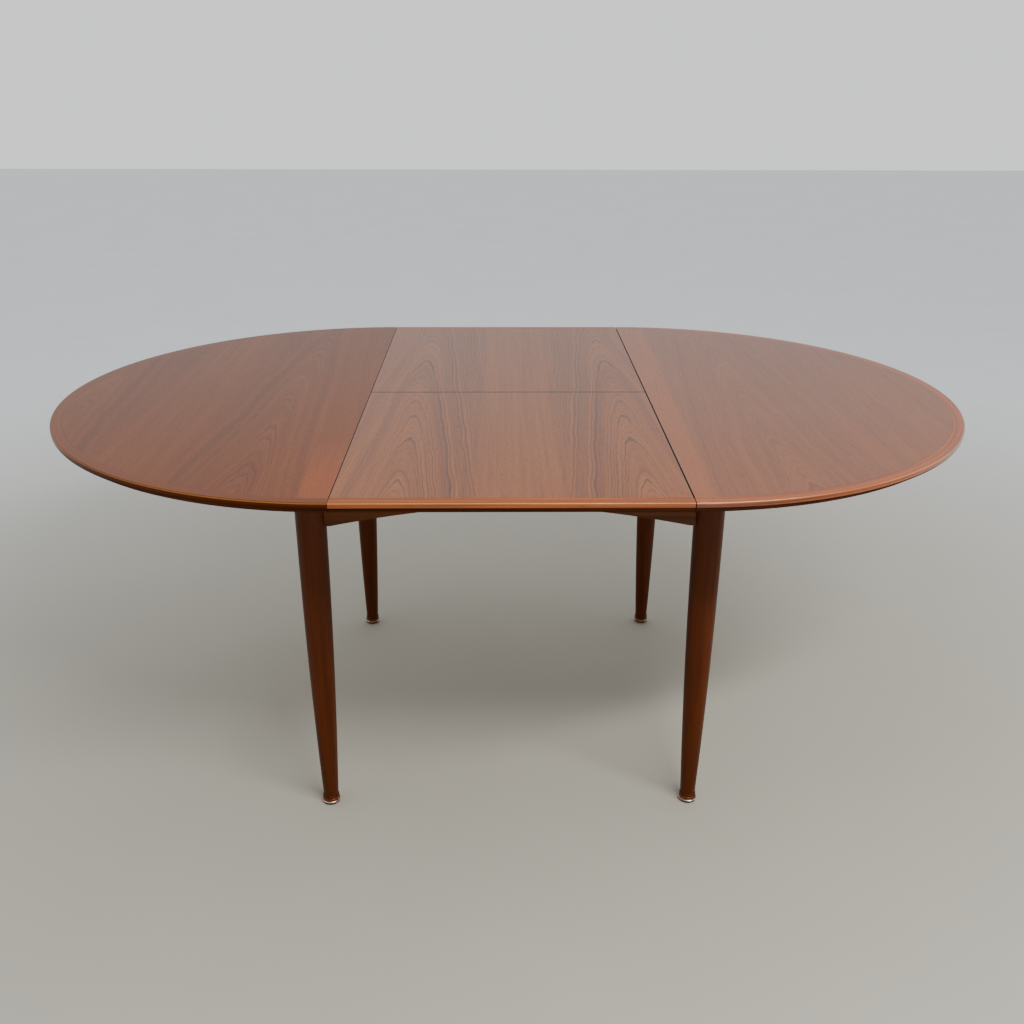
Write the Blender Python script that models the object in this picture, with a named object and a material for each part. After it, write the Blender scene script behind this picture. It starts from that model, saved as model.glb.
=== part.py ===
"""Round extending dining table, drawn out, with a two-part hinged leaf between its half-round ends.

Metres, +Z up. The origin is on the floor under the table's middle. +X runs along the table, +Y to its back.
"""

import bmesh
import bpy
from math import cos, pi, radians, sin
from mathutils import Matrix, Vector

# Overall sizes
TABLE_HEIGHT = 0.740
END_RADIUS = 0.620            # the half-round ends, and half the table's depth
LEAF_WIDTH = 0.570            # the middle leaf, along X

# Top
TOP_THICKNESS = 0.022
LIPPING_WIDTH = 0.021         # solid wood round the veneered panels
EDGE_EASE = 0.0022            # small chamfer of the lipping's upper arris
NOSE_HEIGHT = 0.0085          # upright part of the edge
UNDERCUT = 0.016              # how far the lower bevel runs in
LEFT_SEAM_GAP = 0.0007        # between the left end and the leaf
RIGHT_SEAM_GAP = 0.0016       # between the right end and the leaf
LEAF_SEAM_GAP = 0.0008        # between the leaf's halves
LEFT_LIP_JOINT_ANGLE = 35.0   # where an end lipping's two lengths meet, degrees behind the tip
RIGHT_LIP_JOINT_ANGLE = -30.0
ARC_SEGMENTS = 56             # facets round each half circle

# Fits
TOUCH_GAP = 0.0003            # between pieces that touch
SLIDE_GAP = 0.0010            # between pieces that slide on each other

# Legs and feet
LEG_X = 0.358                 # leg axes from the table's middle
LEG_Y = 0.379
LEG_RADIUS = 0.0278           # at the top
LEG_FOOT_RADIUS = 0.0145      # just above the foot collar
LEG_SWELL = 2.3               # the higher, the longer the leg stays nearly parallel
LEG_RINGS = 16
LEG_SEGMENTS = 24
COLLAR_RADIUS = 0.0160
COLLAR_HEIGHT = 0.006
RING_RADIUS = 0.0180
RING_HEIGHT = 0.009
PAD_RADIUS = 0.0165
PAD_HEIGHT = 0.004
FOOT_SPIGOT_RADIUS = 0.0090   # the leg's end inside the ring

# Frame
APRON_THICKNESS = 0.022
APRON_DEPTH = 0.115           # beside the legs
APRON_ARCH_RISE = 0.039       # how much shallower it is in the middle
ARCH_LEVEL = 0.0052           # the lower edge runs level for this far beside each leg
ARCH_POWER = 1.7              # 2 would be a parabola
ARCH_STEPS = 12               # facets in half the arch
RAIL_THICKNESS = 0.022
RAIL_DROP = 0.0133            # rail's top below the top's underside, so that bearers pass over it
RAIL_DEPTH = 0.087
CORNER_BLOCK_REACH = 0.070    # along apron and rail, from the leg's axis
CORNER_BLOCK_HEIGHT = 0.045
CORNER_BLOCK_WIDTH = 0.024
BOLT_RADIUS = 0.004
BOLT_IN_LEG = 0.012           # how far the bolt enters the leg
NUT_RADIUS = 0.011
NUT_THICKNESS = 0.007

# Runners and what carries them
RUNNER_WIDTH = 0.015
RUNNER_HEIGHT = 0.030
RUNNER_DROP = 0.012           # from the top's underside to the runner, the cleat's thickness
RUNNER_OUTER = 0.700          # ends of a drawn-out runner, from the table's middle
RUNNER_INNER = 0.050
RUNNER_LEG_CLEARANCE = 0.0017 # between the outer runners and the legs that they pass
HEEL_LENGTH = 0.030           # stop heel under the runner's inner end
HEEL_HEIGHT = 0.010
OVERDRAW = 0.050              # how far an end draws out beyond the leaf
GUIDE_LENGTH = 0.030
GUIDE_INNER_WALL = 0.005      # towards the stowed leaf
GUIDE_FLOOR = 0.008
END_CLEAT_X = 0.672           # middle of the cross cleat under an end
END_CLEAT_WIDTH = 0.050
BEARER_WIDTH = 0.040          # the strip under each end, near its inner edge
BEARER_REACH = 0.018          # how far its tongues reach under the leaf
BEARER_SETBACK = 0.020        # strip to seam, so that the other end's tongues fit when closed
BEARER_THICKNESS = 0.012
BEARER_END_CLEARANCE = 0.003  # to the runners
LEFT_TONGUES = ((-0.120, -0.040), (0.040, 0.120))
RIGHT_TONGUES = ((-0.200, -0.130), (-0.034, 0.034), (0.130, 0.200))

# Stowage of the folded leaf
BATTEN_Y = 0.180
BATTEN_WIDTH = 0.030
BATTEN_THICKNESS = 0.020
BATTEN_DROP = 0.068           # from the top's underside to the batten
HOUSING_DEPTH = 0.006         # the battens' ends let into the rails

# Concealed leaf hinges
HINGE_X = 0.190
HINGE_AXIS_RISE = 0.0005      # the turning axis above the surface
CUP_LENGTH = 0.036
CUP_TOP_SKIN = 0.0020         # veneer and core left above a cup
CUP_WALL = 0.0035             # behind and below the link's channel
LINK_INNER_RADIUS = 0.0070
LINK_OUTER_RADIUS = 0.0125
LINK_LENGTH = 0.014
LINK_SPREAD = 66.0            # half its arc, degrees
LINK_CLEARANCE = 0.0006

# Worked out from the above
HALF_LEAF = LEAF_WIDTH / 2
HALF_OPENING = HALF_LEAF + (LEFT_SEAM_GAP + RIGHT_SEAM_GAP) / 2
LEAF_SHIFT = (LEFT_SEAM_GAP - RIGHT_SEAM_GAP) / 2
TOP_UNDERSIDE = TABLE_HEIGHT - TOP_THICKNESS
FRAME_TOP = TOP_UNDERSIDE - TOUCH_GAP
PANEL_RADIUS = END_RADIUS - LIPPING_WIDTH
RUNNER_TOP = TOP_UNDERSIDE - RUNNER_DROP
RUNNER_BOTTOM = RUNNER_TOP - RUNNER_HEIGHT
OUTER_RUNNER_Y = LEG_Y - LEG_RADIUS - RUNNER_LEG_CLEARANCE - RUNNER_WIDTH / 2
INNER_RUNNER_Y = OUTER_RUNNER_Y - RUNNER_WIDTH - SLIDE_GAP
RUNNER_INSET = INNER_RUNNER_Y - RUNNER_WIDTH / 2
APRON_INNER_Y = LEG_Y - APRON_THICKNESS / 2
ARCH_HALF_SPAN = LEG_X - LEG_RADIUS - ARCH_LEVEL
RAIL_INNER_X = LEG_X - RAIL_THICKNESS / 2
RAIL_TOP = TOP_UNDERSIDE - RAIL_DROP
GUIDE_X = RUNNER_INNER + HEEL_LENGTH + OVERDRAW + SLIDE_GAP + GUIDE_LENGTH / 2
HINGE_AXIS_Z = TABLE_HEIGHT + HINGE_AXIS_RISE
CUP_BACK = LINK_OUTER_RADIUS + LINK_CLEARANCE + CUP_WALL

SIDES = {"left": -1, "right": 1}
DEPTHS = {"front": -1, "back": 1}


# ---------------------------------------------------------------- materials

def finish(name, colour, roughness, metallic=0.0):
    """Return the Principled material with this name."""
    material = bpy.data.materials.get(name) or bpy.data.materials.new(name)
    material.use_nodes = True
    shader = material.node_tree.nodes["Principled BSDF"]
    shader.inputs["Base Color"].default_value = (*colour, 1.0)
    shader.inputs["Roughness"].default_value = roughness
    shader.inputs["Metallic"].default_value = metallic
    return material


def veneer():
    return finish("teak_veneer", (0.250, 0.098, 0.050), 0.35)


def lipping_wood():
    return finish("teak_lipping", (0.330, 0.120, 0.045), 0.33)


def leg_wood():
    return finish("dark_teak", (0.085, 0.022, 0.012), 0.40)


def apron_wood():
    return finish("apron_teak", (0.110, 0.040, 0.018), 0.45)


def frame_wood():
    return finish("beech", (0.480, 0.300, 0.160), 0.60)


def steel():
    return finish("zinc_steel", (0.550, 0.540, 0.520), 0.38, 1.0)


def ring_metal():
    return finish("copper_nickel", (0.640, 0.470, 0.400), 0.25, 1.0)


def pad_plastic():
    return finish("dark_pad", (0.030, 0.024, 0.022), 0.60)


# ---------------------------------------------------------------- making shapes

def clear_scene():
    """Remove every object, so that the script starts from an empty scene."""
    for thing in list(bpy.data.objects):
        bpy.data.objects.remove(thing, do_unlink=True)


def add_object(name, mesh, material, smooth_angle=None, parent=None, origin=None):
    """Link a mesh as an object; with an origin, its points are moved so that they stay in place."""
    if origin is not None:
        mesh.transform(Matrix.Translation(-Vector(origin)))
    thing = bpy.data.objects.new(name, mesh)
    bpy.context.scene.collection.objects.link(thing)
    if origin is not None:
        thing.location = origin
    if parent is not None:
        thing.parent = parent
        thing.matrix_parent_inverse = Matrix.Translation(-parent.location)
    if material is not None:
        mesh.materials.append(material)
    if smooth_angle is not None:
        mesh.shade_smooth()
        mesh.set_sharp_from_angle(angle=radians(smooth_angle))
    return thing


def add_empty(name, location):
    """Return an empty that stands on a joint's axis."""
    thing = bpy.data.objects.new(name, None)
    thing.empty_display_size = 0.03
    thing.location = location
    bpy.context.scene.collection.objects.link(thing)
    return thing


def mesh_from_bmesh(name, shape):
    """Write a bmesh to a new mesh with its faces pointing out."""
    bmesh.ops.recalc_face_normals(shape, faces=shape.faces)
    mesh = bpy.data.meshes.new(name)
    shape.to_mesh(mesh)
    shape.free()
    return mesh


def box_mesh(name, low, high):
    """A box between two corners."""
    shape = bmesh.new()
    size = [high[i] - low[i] for i in range(3)]
    middle = [(high[i] + low[i]) / 2 for i in range(3)]
    placed = Matrix.Translation(middle) @ Matrix.Diagonal((*size, 1.0))
    bmesh.ops.create_cube(shape, size=1.0, matrix=placed)
    return mesh_from_bmesh(name, shape)


def prism_mesh(name, outline, start, end, axis="Z"):
    """Extrude a closed outline of (a, b) points along one axis, from start to end.

    For axis Z the outline is (x, y), for axis Y it is (x, z), and for axis X it is (y, z).
    """
    def place(a, b, along):
        return {"Z": (a, b, along), "Y": (a, along, b), "X": (along, a, b)}[axis]

    shape = bmesh.new()
    face = shape.faces.new([shape.verts.new(place(a, b, start)) for a, b in outline])
    step = Vector(place(0.0, 0.0, end)) - Vector(place(0.0, 0.0, start))
    grown = bmesh.ops.extrude_face_region(shape, geom=[face])
    moved = [item for item in grown["geom"] if isinstance(item, bmesh.types.BMVert)]
    bmesh.ops.translate(shape, verts=moved, vec=step)
    return mesh_from_bmesh(name, shape)


def turned_mesh(name, profile, centre, segments):
    """Turn (radius, z) points about the vertical through centre; the ends are closed at the axis."""
    shape = bmesh.new()
    loop = [shape.verts.new((centre[0] + radius, centre[1], z)) for radius, z in profile]
    edges = [shape.edges.new(pair) for pair in zip(loop, loop[1:])]
    bmesh.ops.spin(shape, geom=loop + edges, cent=(*centre, 0.0), axis=(0, 0, 1), angle=2 * pi,
                   steps=segments, use_merge=True)
    bmesh.ops.remove_doubles(shape, verts=shape.verts, dist=0.00001)
    return mesh_from_bmesh(name, shape)


def swept_mesh(name, stations, profile):
    """Bridge copies of a closed profile; each station turns a profile point into a place."""
    shape = bmesh.new()
    rings = [[shape.verts.new(place(point)) for point in profile] for place in stations]
    count = len(profile)
    for ring, following in zip(rings, rings[1:]):
        for k in range(count):
            shape.faces.new((ring[k], ring[(k + 1) % count], following[(k + 1) % count], following[k]))
    shape.faces.new(list(reversed(rings[0])))
    shape.faces.new(rings[-1])
    return mesh_from_bmesh(name, shape)


def cut(thing, cutter_mesh, label):
    """Cut a shape out of an object with a Boolean, and keep the cutter as a wire guide."""
    cutter = add_object(thing.name + "_cut_" + label, cutter_mesh, None)
    cutter.hide_render = True
    cutter.display_type = "WIRE"
    boolean = thing.modifiers.new("cut_" + label, "BOOLEAN")
    boolean.operation = "DIFFERENCE"
    boolean.solver = "EXACT"
    boolean.object = cutter
    return cutter


def arc_points(centre, radius, start, end, steps):
    """Points on an arc, angles in radians, both ends included."""
    turn = (end - start) / steps
    return [(centre[0] + radius * cos(start + turn * k), centre[1] + radius * sin(start + turn * k))
            for k in range(steps + 1)]


# ---------------------------------------------------------------- top

def edge_profile():
    """Section of the lipping as (distance in from the rim, z), going round once."""
    top = TABLE_HEIGHT
    inner = LIPPING_WIDTH - TOUCH_GAP / 2
    return [(inner, top), (EDGE_EASE, top), (EDGE_EASE * 0.3, top - EDGE_EASE * 0.3),
            (0.0, top - EDGE_EASE), (0.0, top - EDGE_EASE - NOSE_HEIGHT),
            (UNDERCUT * 0.25, top - EDGE_EASE - NOSE_HEIGHT - 0.0030),
            (UNDERCUT, TOP_UNDERSIDE), (inner, TOP_UNDERSIDE)]


def end_seam_x(side):
    """X of an end's straight inner edge."""
    return SIDES[side] * HALF_OPENING


def make_end(side, body):
    """One half-round end: a veneered panel and its lipping in two lengths."""
    sign = SIDES[side]
    centre = (end_seam_x(side), 0.0)
    radius = PANEL_RADIUS - TOUCH_GAP / 2
    outline = [(centre[0] + sign * (x - centre[0]), y)
               for x, y in arc_points(centre, radius, -pi / 2, pi / 2, ARC_SEGMENTS)]
    panel = prism_mesh(side + "_end_panel", outline, TOP_UNDERSIDE, TABLE_HEIGHT)
    add_object(side + "_end_panel", panel, veneer(), 30, body)

    joint = radians({"left": LEFT_LIP_JOINT_ANGLE, "right": RIGHT_LIP_JOINT_ANGLE}[side])
    spans = {"front": (-pi / 2, joint - TOUCH_GAP / 2 / END_RADIUS),
             "back": (joint + TOUCH_GAP / 2 / END_RADIUS, pi / 2)}
    for depth, (start, end) in spans.items():
        steps = max(4, round(ARC_SEGMENTS * (end - start) / pi))

        def station(angle):
            return lambda point: (centre[0] + sign * (END_RADIUS - point[0]) * cos(angle),
                                  (END_RADIUS - point[0]) * sin(angle), point[1])

        stations = [station(start + (end - start) * k / steps) for k in range(steps + 1)]
        name = f"{side}_end_lipping_{depth}"
        add_object(name, swept_mesh(name, stations, edge_profile()), lipping_wood(), 30, body)


def make_leaf_half(depth, body):
    """One half of the leaf: a veneered panel and the lipping on its outer edge."""
    sign = DEPTHS[depth]
    inner = LEAF_SEAM_GAP / 2
    outer = PANEL_RADIUS - TOUCH_GAP / 2
    low, high = sorted((sign * inner, sign * outer))
    left, right = LEAF_SHIFT - HALF_LEAF, LEAF_SHIFT + HALF_LEAF
    panel = box_mesh(f"leaf_{depth}_panel", (left, low, TOP_UNDERSIDE), (right, high, TABLE_HEIGHT))
    panel_object = add_object(f"leaf_{depth}_panel", panel, veneer(), None, body, tuple(body.location))
    for side in SIDES:
        cut(panel_object, cup_block(side, depth, TOUCH_GAP), side)

    stations = [lambda point, x=x: (x, sign * (END_RADIUS - point[0]), point[1]) for x in (left, right)]
    lipping = swept_mesh(f"leaf_{depth}_lipping", stations, edge_profile())
    add_object(f"leaf_{depth}_lipping", lipping, lipping_wood(), 30, body, tuple(body.location))


# ---------------------------------------------------------------- concealed hinges

def cup_block(side, depth, margin):
    """The hinge cup's outer block, or with a margin the pocket that it sits in."""
    middle = SIDES[side] * HINGE_X
    sign = DEPTHS[depth]
    half = CUP_LENGTH / 2 + margin
    top = TABLE_HEIGHT - CUP_TOP_SKIN + margin
    bottom = HINGE_AXIS_Z - CUP_BACK - margin
    mouth = LEAF_SEAM_GAP / 2 if margin == 0 else -0.002
    low, high = sorted((sign * mouth, sign * (CUP_BACK + margin)))
    return box_mesh("cup_block", (middle - half, low, bottom), (middle + half, high, top))


def link_sector(name, middle, inner, outer, half_length, spread, centre_angle=-pi / 2):
    """A ring sector about the leaf's turning axis."""
    axis = (0.0, HINGE_AXIS_Z)
    start, end = centre_angle - spread, centre_angle + spread
    outline = arc_points(axis, outer, start, end, 12) + arc_points(axis, inner, end, start, 12)
    return prism_mesh(name, outline, middle - half_length, middle + half_length, "X")


def make_hinge(side, front_body, back_body, link_body):
    """One concealed hinge: a cup in each half and the link that spans the seam."""
    middle = SIDES[side] * HINGE_X
    for depth, body in (("front", front_body), ("back", back_body)):
        name = f"hinge_cup_{side}_{depth}"
        cup = add_object(name, cup_block(side, depth, 0.0), steel(), None, body, tuple(body.location))
        channel = link_sector("channel", middle, LINK_INNER_RADIUS - LINK_CLEARANCE,
                              LINK_OUTER_RADIUS + LINK_CLEARANCE, LINK_LENGTH / 2 + LINK_CLEARANCE,
                              radians(LINK_SPREAD + 10.0))
        cut(cup, channel, "channel")
    link = link_sector("hinge_link_" + side, middle, LINK_INNER_RADIUS, LINK_OUTER_RADIUS,
                       LINK_LENGTH / 2, radians(LINK_SPREAD))
    add_object("hinge_link_" + side, link, steel(), 30, link_body, tuple(link_body.location))


# ---------------------------------------------------------------- frame

def leg_radius_at(share):
    """Leg radius, share 0 at the top and 1 at the foot: nearly parallel, then a swelling taper."""
    return LEG_RADIUS - (LEG_RADIUS - LEG_FOOT_RADIUS) * share ** LEG_SWELL


def leg_profile():
    """(radius, z) down the leg, from the axis at its top to the axis at its foot."""
    foot = PAD_HEIGHT + TOUCH_GAP
    collar_bottom = foot + RING_HEIGHT + TOUCH_GAP
    collar_top = collar_bottom + COLLAR_HEIGHT
    points = [(0.0, FRAME_TOP)]
    for k in range(LEG_RINGS + 1):
        share = k / LEG_RINGS
        points.append((leg_radius_at(share), FRAME_TOP + (collar_top - FRAME_TOP) * share))
    points += [(COLLAR_RADIUS, collar_top - 0.0015), (COLLAR_RADIUS, collar_bottom),
               (FOOT_SPIGOT_RADIUS, collar_bottom), (FOOT_SPIGOT_RADIUS, foot), (0.0, foot)]
    return points


def make_leg(side, depth):
    """A turned leg, its foot ring and its pad."""
    centre = (SIDES[side] * LEG_X, DEPTHS[depth] * LEG_Y)
    corner = f"{depth}_{side}"
    leg = add_object("leg_" + corner, turned_mesh("leg", leg_profile(), centre, LEG_SEGMENTS),
                     leg_wood(), 40)
    cut(leg, bolt_hole_mesh(side, depth, -BOLT_IN_LEG - TOUCH_GAP, 0.060), "bolt")

    ring_bottom = PAD_HEIGHT + TOUCH_GAP
    ring_top = ring_bottom + RING_HEIGHT
    bore = FOOT_SPIGOT_RADIUS + TOUCH_GAP
    ease = 0.0012
    section = [(bore, ring_top), (RING_RADIUS - ease, ring_top), (RING_RADIUS, ring_top - ease),
               (RING_RADIUS, ring_bottom + ease), (RING_RADIUS - ease, ring_bottom), (bore, ring_bottom),
               (bore, ring_top)]
    add_object("foot_ring_" + corner, turned_mesh("ring", section, centre, LEG_SEGMENTS), ring_metal(), 40)

    pad = [(0.0, PAD_HEIGHT), (PAD_RADIUS, PAD_HEIGHT), (PAD_RADIUS, 0.001), (PAD_RADIUS - 0.001, 0.0),
           (0.0, 0.0)]
    add_object("foot_pad_" + corner, turned_mesh("pad", pad, centre, LEG_SEGMENTS), pad_plastic(), 40)


def leg_cutter(side, depth):
    """A post with the leg's top radius and the touching gap, which copes what meets the leg."""
    centre = (SIDES[side] * LEG_X, DEPTHS[depth] * LEG_Y)
    radius = LEG_RADIUS + TOUCH_GAP
    profile = [(0.0, TABLE_HEIGHT), (radius, TABLE_HEIGHT), (radius, TABLE_HEIGHT / 2), (0.0, TABLE_HEIGHT / 2)]
    return turned_mesh("post", profile, centre, LEG_SEGMENTS)


def arch_outline(half_length):
    """The apron's face as (x, z): straight on top, arched below, level beside the legs."""
    low = FRAME_TOP - APRON_DEPTH
    half_arch = []
    for k in range(ARCH_STEPS + 1):
        share = k / ARCH_STEPS
        half_arch.append((ARCH_HALF_SPAN * share, low + APRON_ARCH_RISE * (1 - share ** ARCH_POWER)))
    right = [(half_length, low)] + list(reversed(half_arch))
    left = [(-x, z) for x, z in reversed(right[:-1])]
    return [(-half_length, FRAME_TOP), (half_length, FRAME_TOP)] + right + left


def make_apron(depth):
    """An arched apron between two legs, its ends coped to them."""
    middle = DEPTHS[depth] * LEG_Y
    name = depth + "_apron"
    shape = prism_mesh(name, arch_outline(LEG_X - LEG_RADIUS * 0.6), middle - APRON_THICKNESS / 2,
                       middle + APRON_THICKNESS / 2, "Y")
    apron = add_object(name, shape, apron_wood())
    for side in SIDES:
        cut(apron, leg_cutter(side, depth), side)


def make_rail(side):
    """A cross rail between two legs, notched for its runners and housed for the battens."""
    middle = SIDES[side] * LEG_X
    half = RAIL_THICKNESS / 2
    reach = LEG_Y - LEG_RADIUS * 0.6
    notch = RUNNER_INSET - SLIDE_GAP
    floor = RUNNER_BOTTOM - TOUCH_GAP
    bottom = RAIL_TOP - RAIL_DEPTH
    outline = [(-reach, bottom), (reach, bottom), (reach, floor), (notch, floor), (notch, RAIL_TOP),
               (-notch, RAIL_TOP), (-notch, floor), (-reach, floor)]
    name = side + "_rail"
    rail = add_object(name, prism_mesh(name, outline, middle - half, middle + half, "X"), apron_wood())
    for depth in DEPTHS:
        cut(rail, leg_cutter(side, depth), depth)
        low, high = batten_box(depth, TOUCH_GAP)
        cut(rail, box_mesh("housing", low, high), "batten_" + depth)


def diagonal(side, depth):
    """Unit direction from a leg's axis towards the table's middle, at 45 degrees."""
    return Vector((-SIDES[side], -DEPTHS[depth], 0.0)).normalized()


def bolt_height():
    """Z of the leg bolts: the corner blocks' mid height."""
    return corner_block_top() - CORNER_BLOCK_HEIGHT / 2


def corner_block_top():
    """Z of the corner blocks' upper faces, under the runners' heels."""
    return RUNNER_BOTTOM - HEEL_HEIGHT - SLIDE_GAP


def bolt_hole_mesh(side, depth, start, end):
    """Cutter along a leg bolt, from start to end beyond the leg's surface."""
    return bolt_cylinder("bolt_hole", side, depth, BOLT_RADIUS + TOUCH_GAP, start, end, 12)


def bolt_cylinder(name, side, depth, radius, start, end, segments):
    """A cylinder on a leg bolt's axis; start and end count from the leg's surface inwards."""
    direction = diagonal(side, depth)
    surface = Vector((SIDES[side] * LEG_X, DEPTHS[depth] * LEG_Y, bolt_height())) + direction * LEG_RADIUS
    middle = surface + direction * (start + end) / 2
    turn = direction.to_track_quat("Z", "Y").to_matrix().to_4x4()
    shape = bmesh.new()
    bmesh.ops.create_cone(shape, cap_ends=True, segments=segments, radius1=radius, radius2=radius,
                          depth=end - start, matrix=Matrix.Translation(middle) @ turn)
    return mesh_from_bmesh(name, shape)


def block_inner_distance():
    """Distance along the diagonal from the leg's surface to the corner block's inner face."""
    return CORNER_BLOCK_REACH / 2 ** 0.5 - LEG_RADIUS + CORNER_BLOCK_WIDTH / 2


def make_corner(side, depth):
    """A corner block across apron and rail, and the bolt and nut that hold the leg to it."""
    sx, sy = -SIDES[side], -DEPTHS[depth]
    leg = (SIDES[side] * LEG_X, DEPTHS[depth] * LEG_Y)
    rail_face = RAIL_THICKNESS / 2 + TOUCH_GAP
    apron_face = APRON_THICKNESS / 2 + TOUCH_GAP
    widening = CORNER_BLOCK_WIDTH / 2 ** 0.5
    near = CORNER_BLOCK_REACH - widening
    far = CORNER_BLOCK_REACH + widening
    outline = [(rail_face, near - rail_face), (rail_face, far - rail_face),
               (far - apron_face, apron_face), (near - apron_face, apron_face)]
    outline = [(leg[0] + sx * a, leg[1] + sy * b) for a, b in outline]
    top = corner_block_top()
    name = f"corner_block_{depth}_{side}"
    block = add_object(name, prism_mesh(name, outline, top - CORNER_BLOCK_HEIGHT, top), frame_wood())
    cut(block, bolt_hole_mesh(side, depth, 0.0, 0.090), "bolt")

    inner = block_inner_distance()
    bolt_end = inner + NUT_THICKNESS + 0.006
    bolt = bolt_cylinder("leg_bolt", side, depth, BOLT_RADIUS, -BOLT_IN_LEG, bolt_end, 12)
    add_object(f"leg_bolt_{depth}_{side}", bolt, steel(), 40)
    nut = bolt_cylinder("leg_nut", side, depth, NUT_RADIUS, inner + TOUCH_GAP,
                        inner + TOUCH_GAP + NUT_THICKNESS, 6)
    nut_object = add_object(f"leg_nut_{depth}_{side}", nut, steel())
    cut(nut_object, bolt_hole_mesh(side, depth, 0.0, 0.090), "bolt")


# ---------------------------------------------------------------- runners, guides and stowage

def runner_y(side, depth):
    """Y of a runner: the left end's pair runs inside the right end's pair."""
    return DEPTHS[depth] * (INNER_RUNNER_Y if side == "left" else OUTER_RUNNER_Y)


def make_runner(side, depth, body):
    """A runner under an end, with a stop heel cut in one with its inner end."""
    sign = SIDES[side]
    outline = [(RUNNER_OUTER, RUNNER_BOTTOM), (RUNNER_OUTER, RUNNER_TOP), (RUNNER_INNER, RUNNER_TOP),
               (RUNNER_INNER, RUNNER_BOTTOM - HEEL_HEIGHT),
               (RUNNER_INNER + HEEL_LENGTH, RUNNER_BOTTOM - HEEL_HEIGHT),
               (RUNNER_INNER + HEEL_LENGTH, RUNNER_BOTTOM)]
    outline = [(sign * x, z) for x, z in outline]
    middle = runner_y(side, depth)
    name = f"{side}_runner_{depth}"
    shape = prism_mesh(name, outline, middle - RUNNER_WIDTH / 2, middle + RUNNER_WIDTH / 2, "Y")
    add_object(name, shape, frame_wood(), None, body)


def make_guide(side, depth):
    """A guide on an apron: a loop round both runners, deeper under the other end's runner.

    The loop stops its own end's heels and lets the other end's heels through.
    """
    sy = DEPTHS[depth]
    middle = SIDES[side] * GUIDE_X
    half = RUNNER_WIDTH / 2 + SLIDE_GAP / 2
    inner, outer = INNER_RUNNER_Y - half, OUTER_RUNNER_Y + half
    between = (INNER_RUNNER_Y + OUTER_RUNNER_Y) / 2
    floors = {lane: RUNNER_BOTTOM - SLIDE_GAP / 2 - (0.0 if lane == side else HEEL_HEIGHT + SLIDE_GAP / 2)
              for lane in SIDES}
    low, high = sorted((sy * (inner - GUIDE_INNER_WALL), sy * (APRON_INNER_Y - TOUCH_GAP)))
    name = f"{side}_guide_{depth}"
    block = box_mesh(name, (middle - GUIDE_LENGTH / 2, low, min(floors.values()) - GUIDE_FLOOR),
                     (middle + GUIDE_LENGTH / 2, high, FRAME_TOP))
    guide = add_object(name, block, frame_wood())
    ceiling = RUNNER_TOP + SLIDE_GAP / 2
    outline = [(inner, floors["left"]), (between, floors["left"]), (between, floors["right"]),
               (outer, floors["right"]), (outer, ceiling), (inner, ceiling)]
    outline = [(sy * y, z) for y, z in outline]
    cut(guide, prism_mesh("passage", outline, middle - GUIDE_LENGTH, middle + GUIDE_LENGTH, "X"), "passage")


def make_end_cleat(side, body):
    """The cross cleat that joins an end's runners to its panel."""
    middle = SIDES[side] * END_CLEAT_X
    half = END_CLEAT_WIDTH / 2
    reach = OUTER_RUNNER_Y + RUNNER_WIDTH / 2
    low = (middle - half, -reach, RUNNER_TOP + TOUCH_GAP)
    high = (middle + half, reach, TOP_UNDERSIDE - TOUCH_GAP)
    name = side + "_end_cleat"
    add_object(name, box_mesh(name, low, high), frame_wood(), None, body)


def make_leaf_bearer(side, body):
    """The bearer under an end: a strip with tongues that reach under the leaf.

    The two ends' tongues are staggered, so that they pass each other when the table is closed.
    """
    sign = SIDES[side]
    seam = end_seam_x(side)
    tip = seam - sign * BEARER_REACH
    inner = seam + sign * BEARER_SETBACK
    outer = inner + sign * BEARER_WIDTH
    reach = RUNNER_INSET - BEARER_END_CLEARANCE
    outline = [(outer, -reach), (inner, -reach)]
    for low, high in (LEFT_TONGUES if side == "left" else RIGHT_TONGUES):
        outline += [(inner, low), (tip, low), (tip, high), (inner, high)]
    outline += [(inner, reach), (outer, reach)]
    top = TOP_UNDERSIDE - TOUCH_GAP
    name = side + "_leaf_bearer"
    add_object(name, prism_mesh(name, outline, top - BEARER_THICKNESS, top), frame_wood(), None, body)


def batten_box(depth, margin):
    """Corners of a stowage batten, or with a margin of its housings in the rails."""
    reach = RAIL_INNER_X + HOUSING_DEPTH
    middle = DEPTHS[depth] * BATTEN_Y
    top = TOP_UNDERSIDE - BATTEN_DROP
    low = (-reach - margin, middle - BATTEN_WIDTH / 2 - margin, top - BATTEN_THICKNESS - margin)
    high = (reach + margin, middle + BATTEN_WIDTH / 2 + margin, top + margin)
    return low, high


def make_batten(depth):
    """A batten between the rails, on which the folded leaf is stowed."""
    name = "stowage_batten_" + depth
    add_object(name, box_mesh(name, *batten_box(depth, 0.0)), frame_wood())


# ---------------------------------------------------------------- the table

def build_table():
    """Make every piece of the table."""
    clear_scene()
    axis = (0.0, 0.0, HINGE_AXIS_Z)
    end_bodies = {side: add_empty(side + "_end_slide", (end_seam_x(side), 0.0, TOP_UNDERSIDE))
                  for side in SIDES}
    leaf_bodies = {depth: add_empty(f"leaf_{depth}_pivot", axis) for depth in DEPTHS}
    link_body = add_empty("leaf_link_pivot", axis)

    for side in SIDES:
        body = end_bodies[side]
        make_end(side, body)
        make_end_cleat(side, body)
        make_leaf_bearer(side, body)
        make_rail(side)
        make_hinge(side, leaf_bodies["front"], leaf_bodies["back"], link_body)
    for depth in DEPTHS:
        make_leaf_half(depth, leaf_bodies[depth])
        make_apron(depth)
        make_batten(depth)
    for side in SIDES:
        for depth in DEPTHS:
            make_runner(side, depth, end_bodies[side])
            make_guide(side, depth)
            make_leg(side, depth)
            make_corner(side, depth)


build_table()
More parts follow.
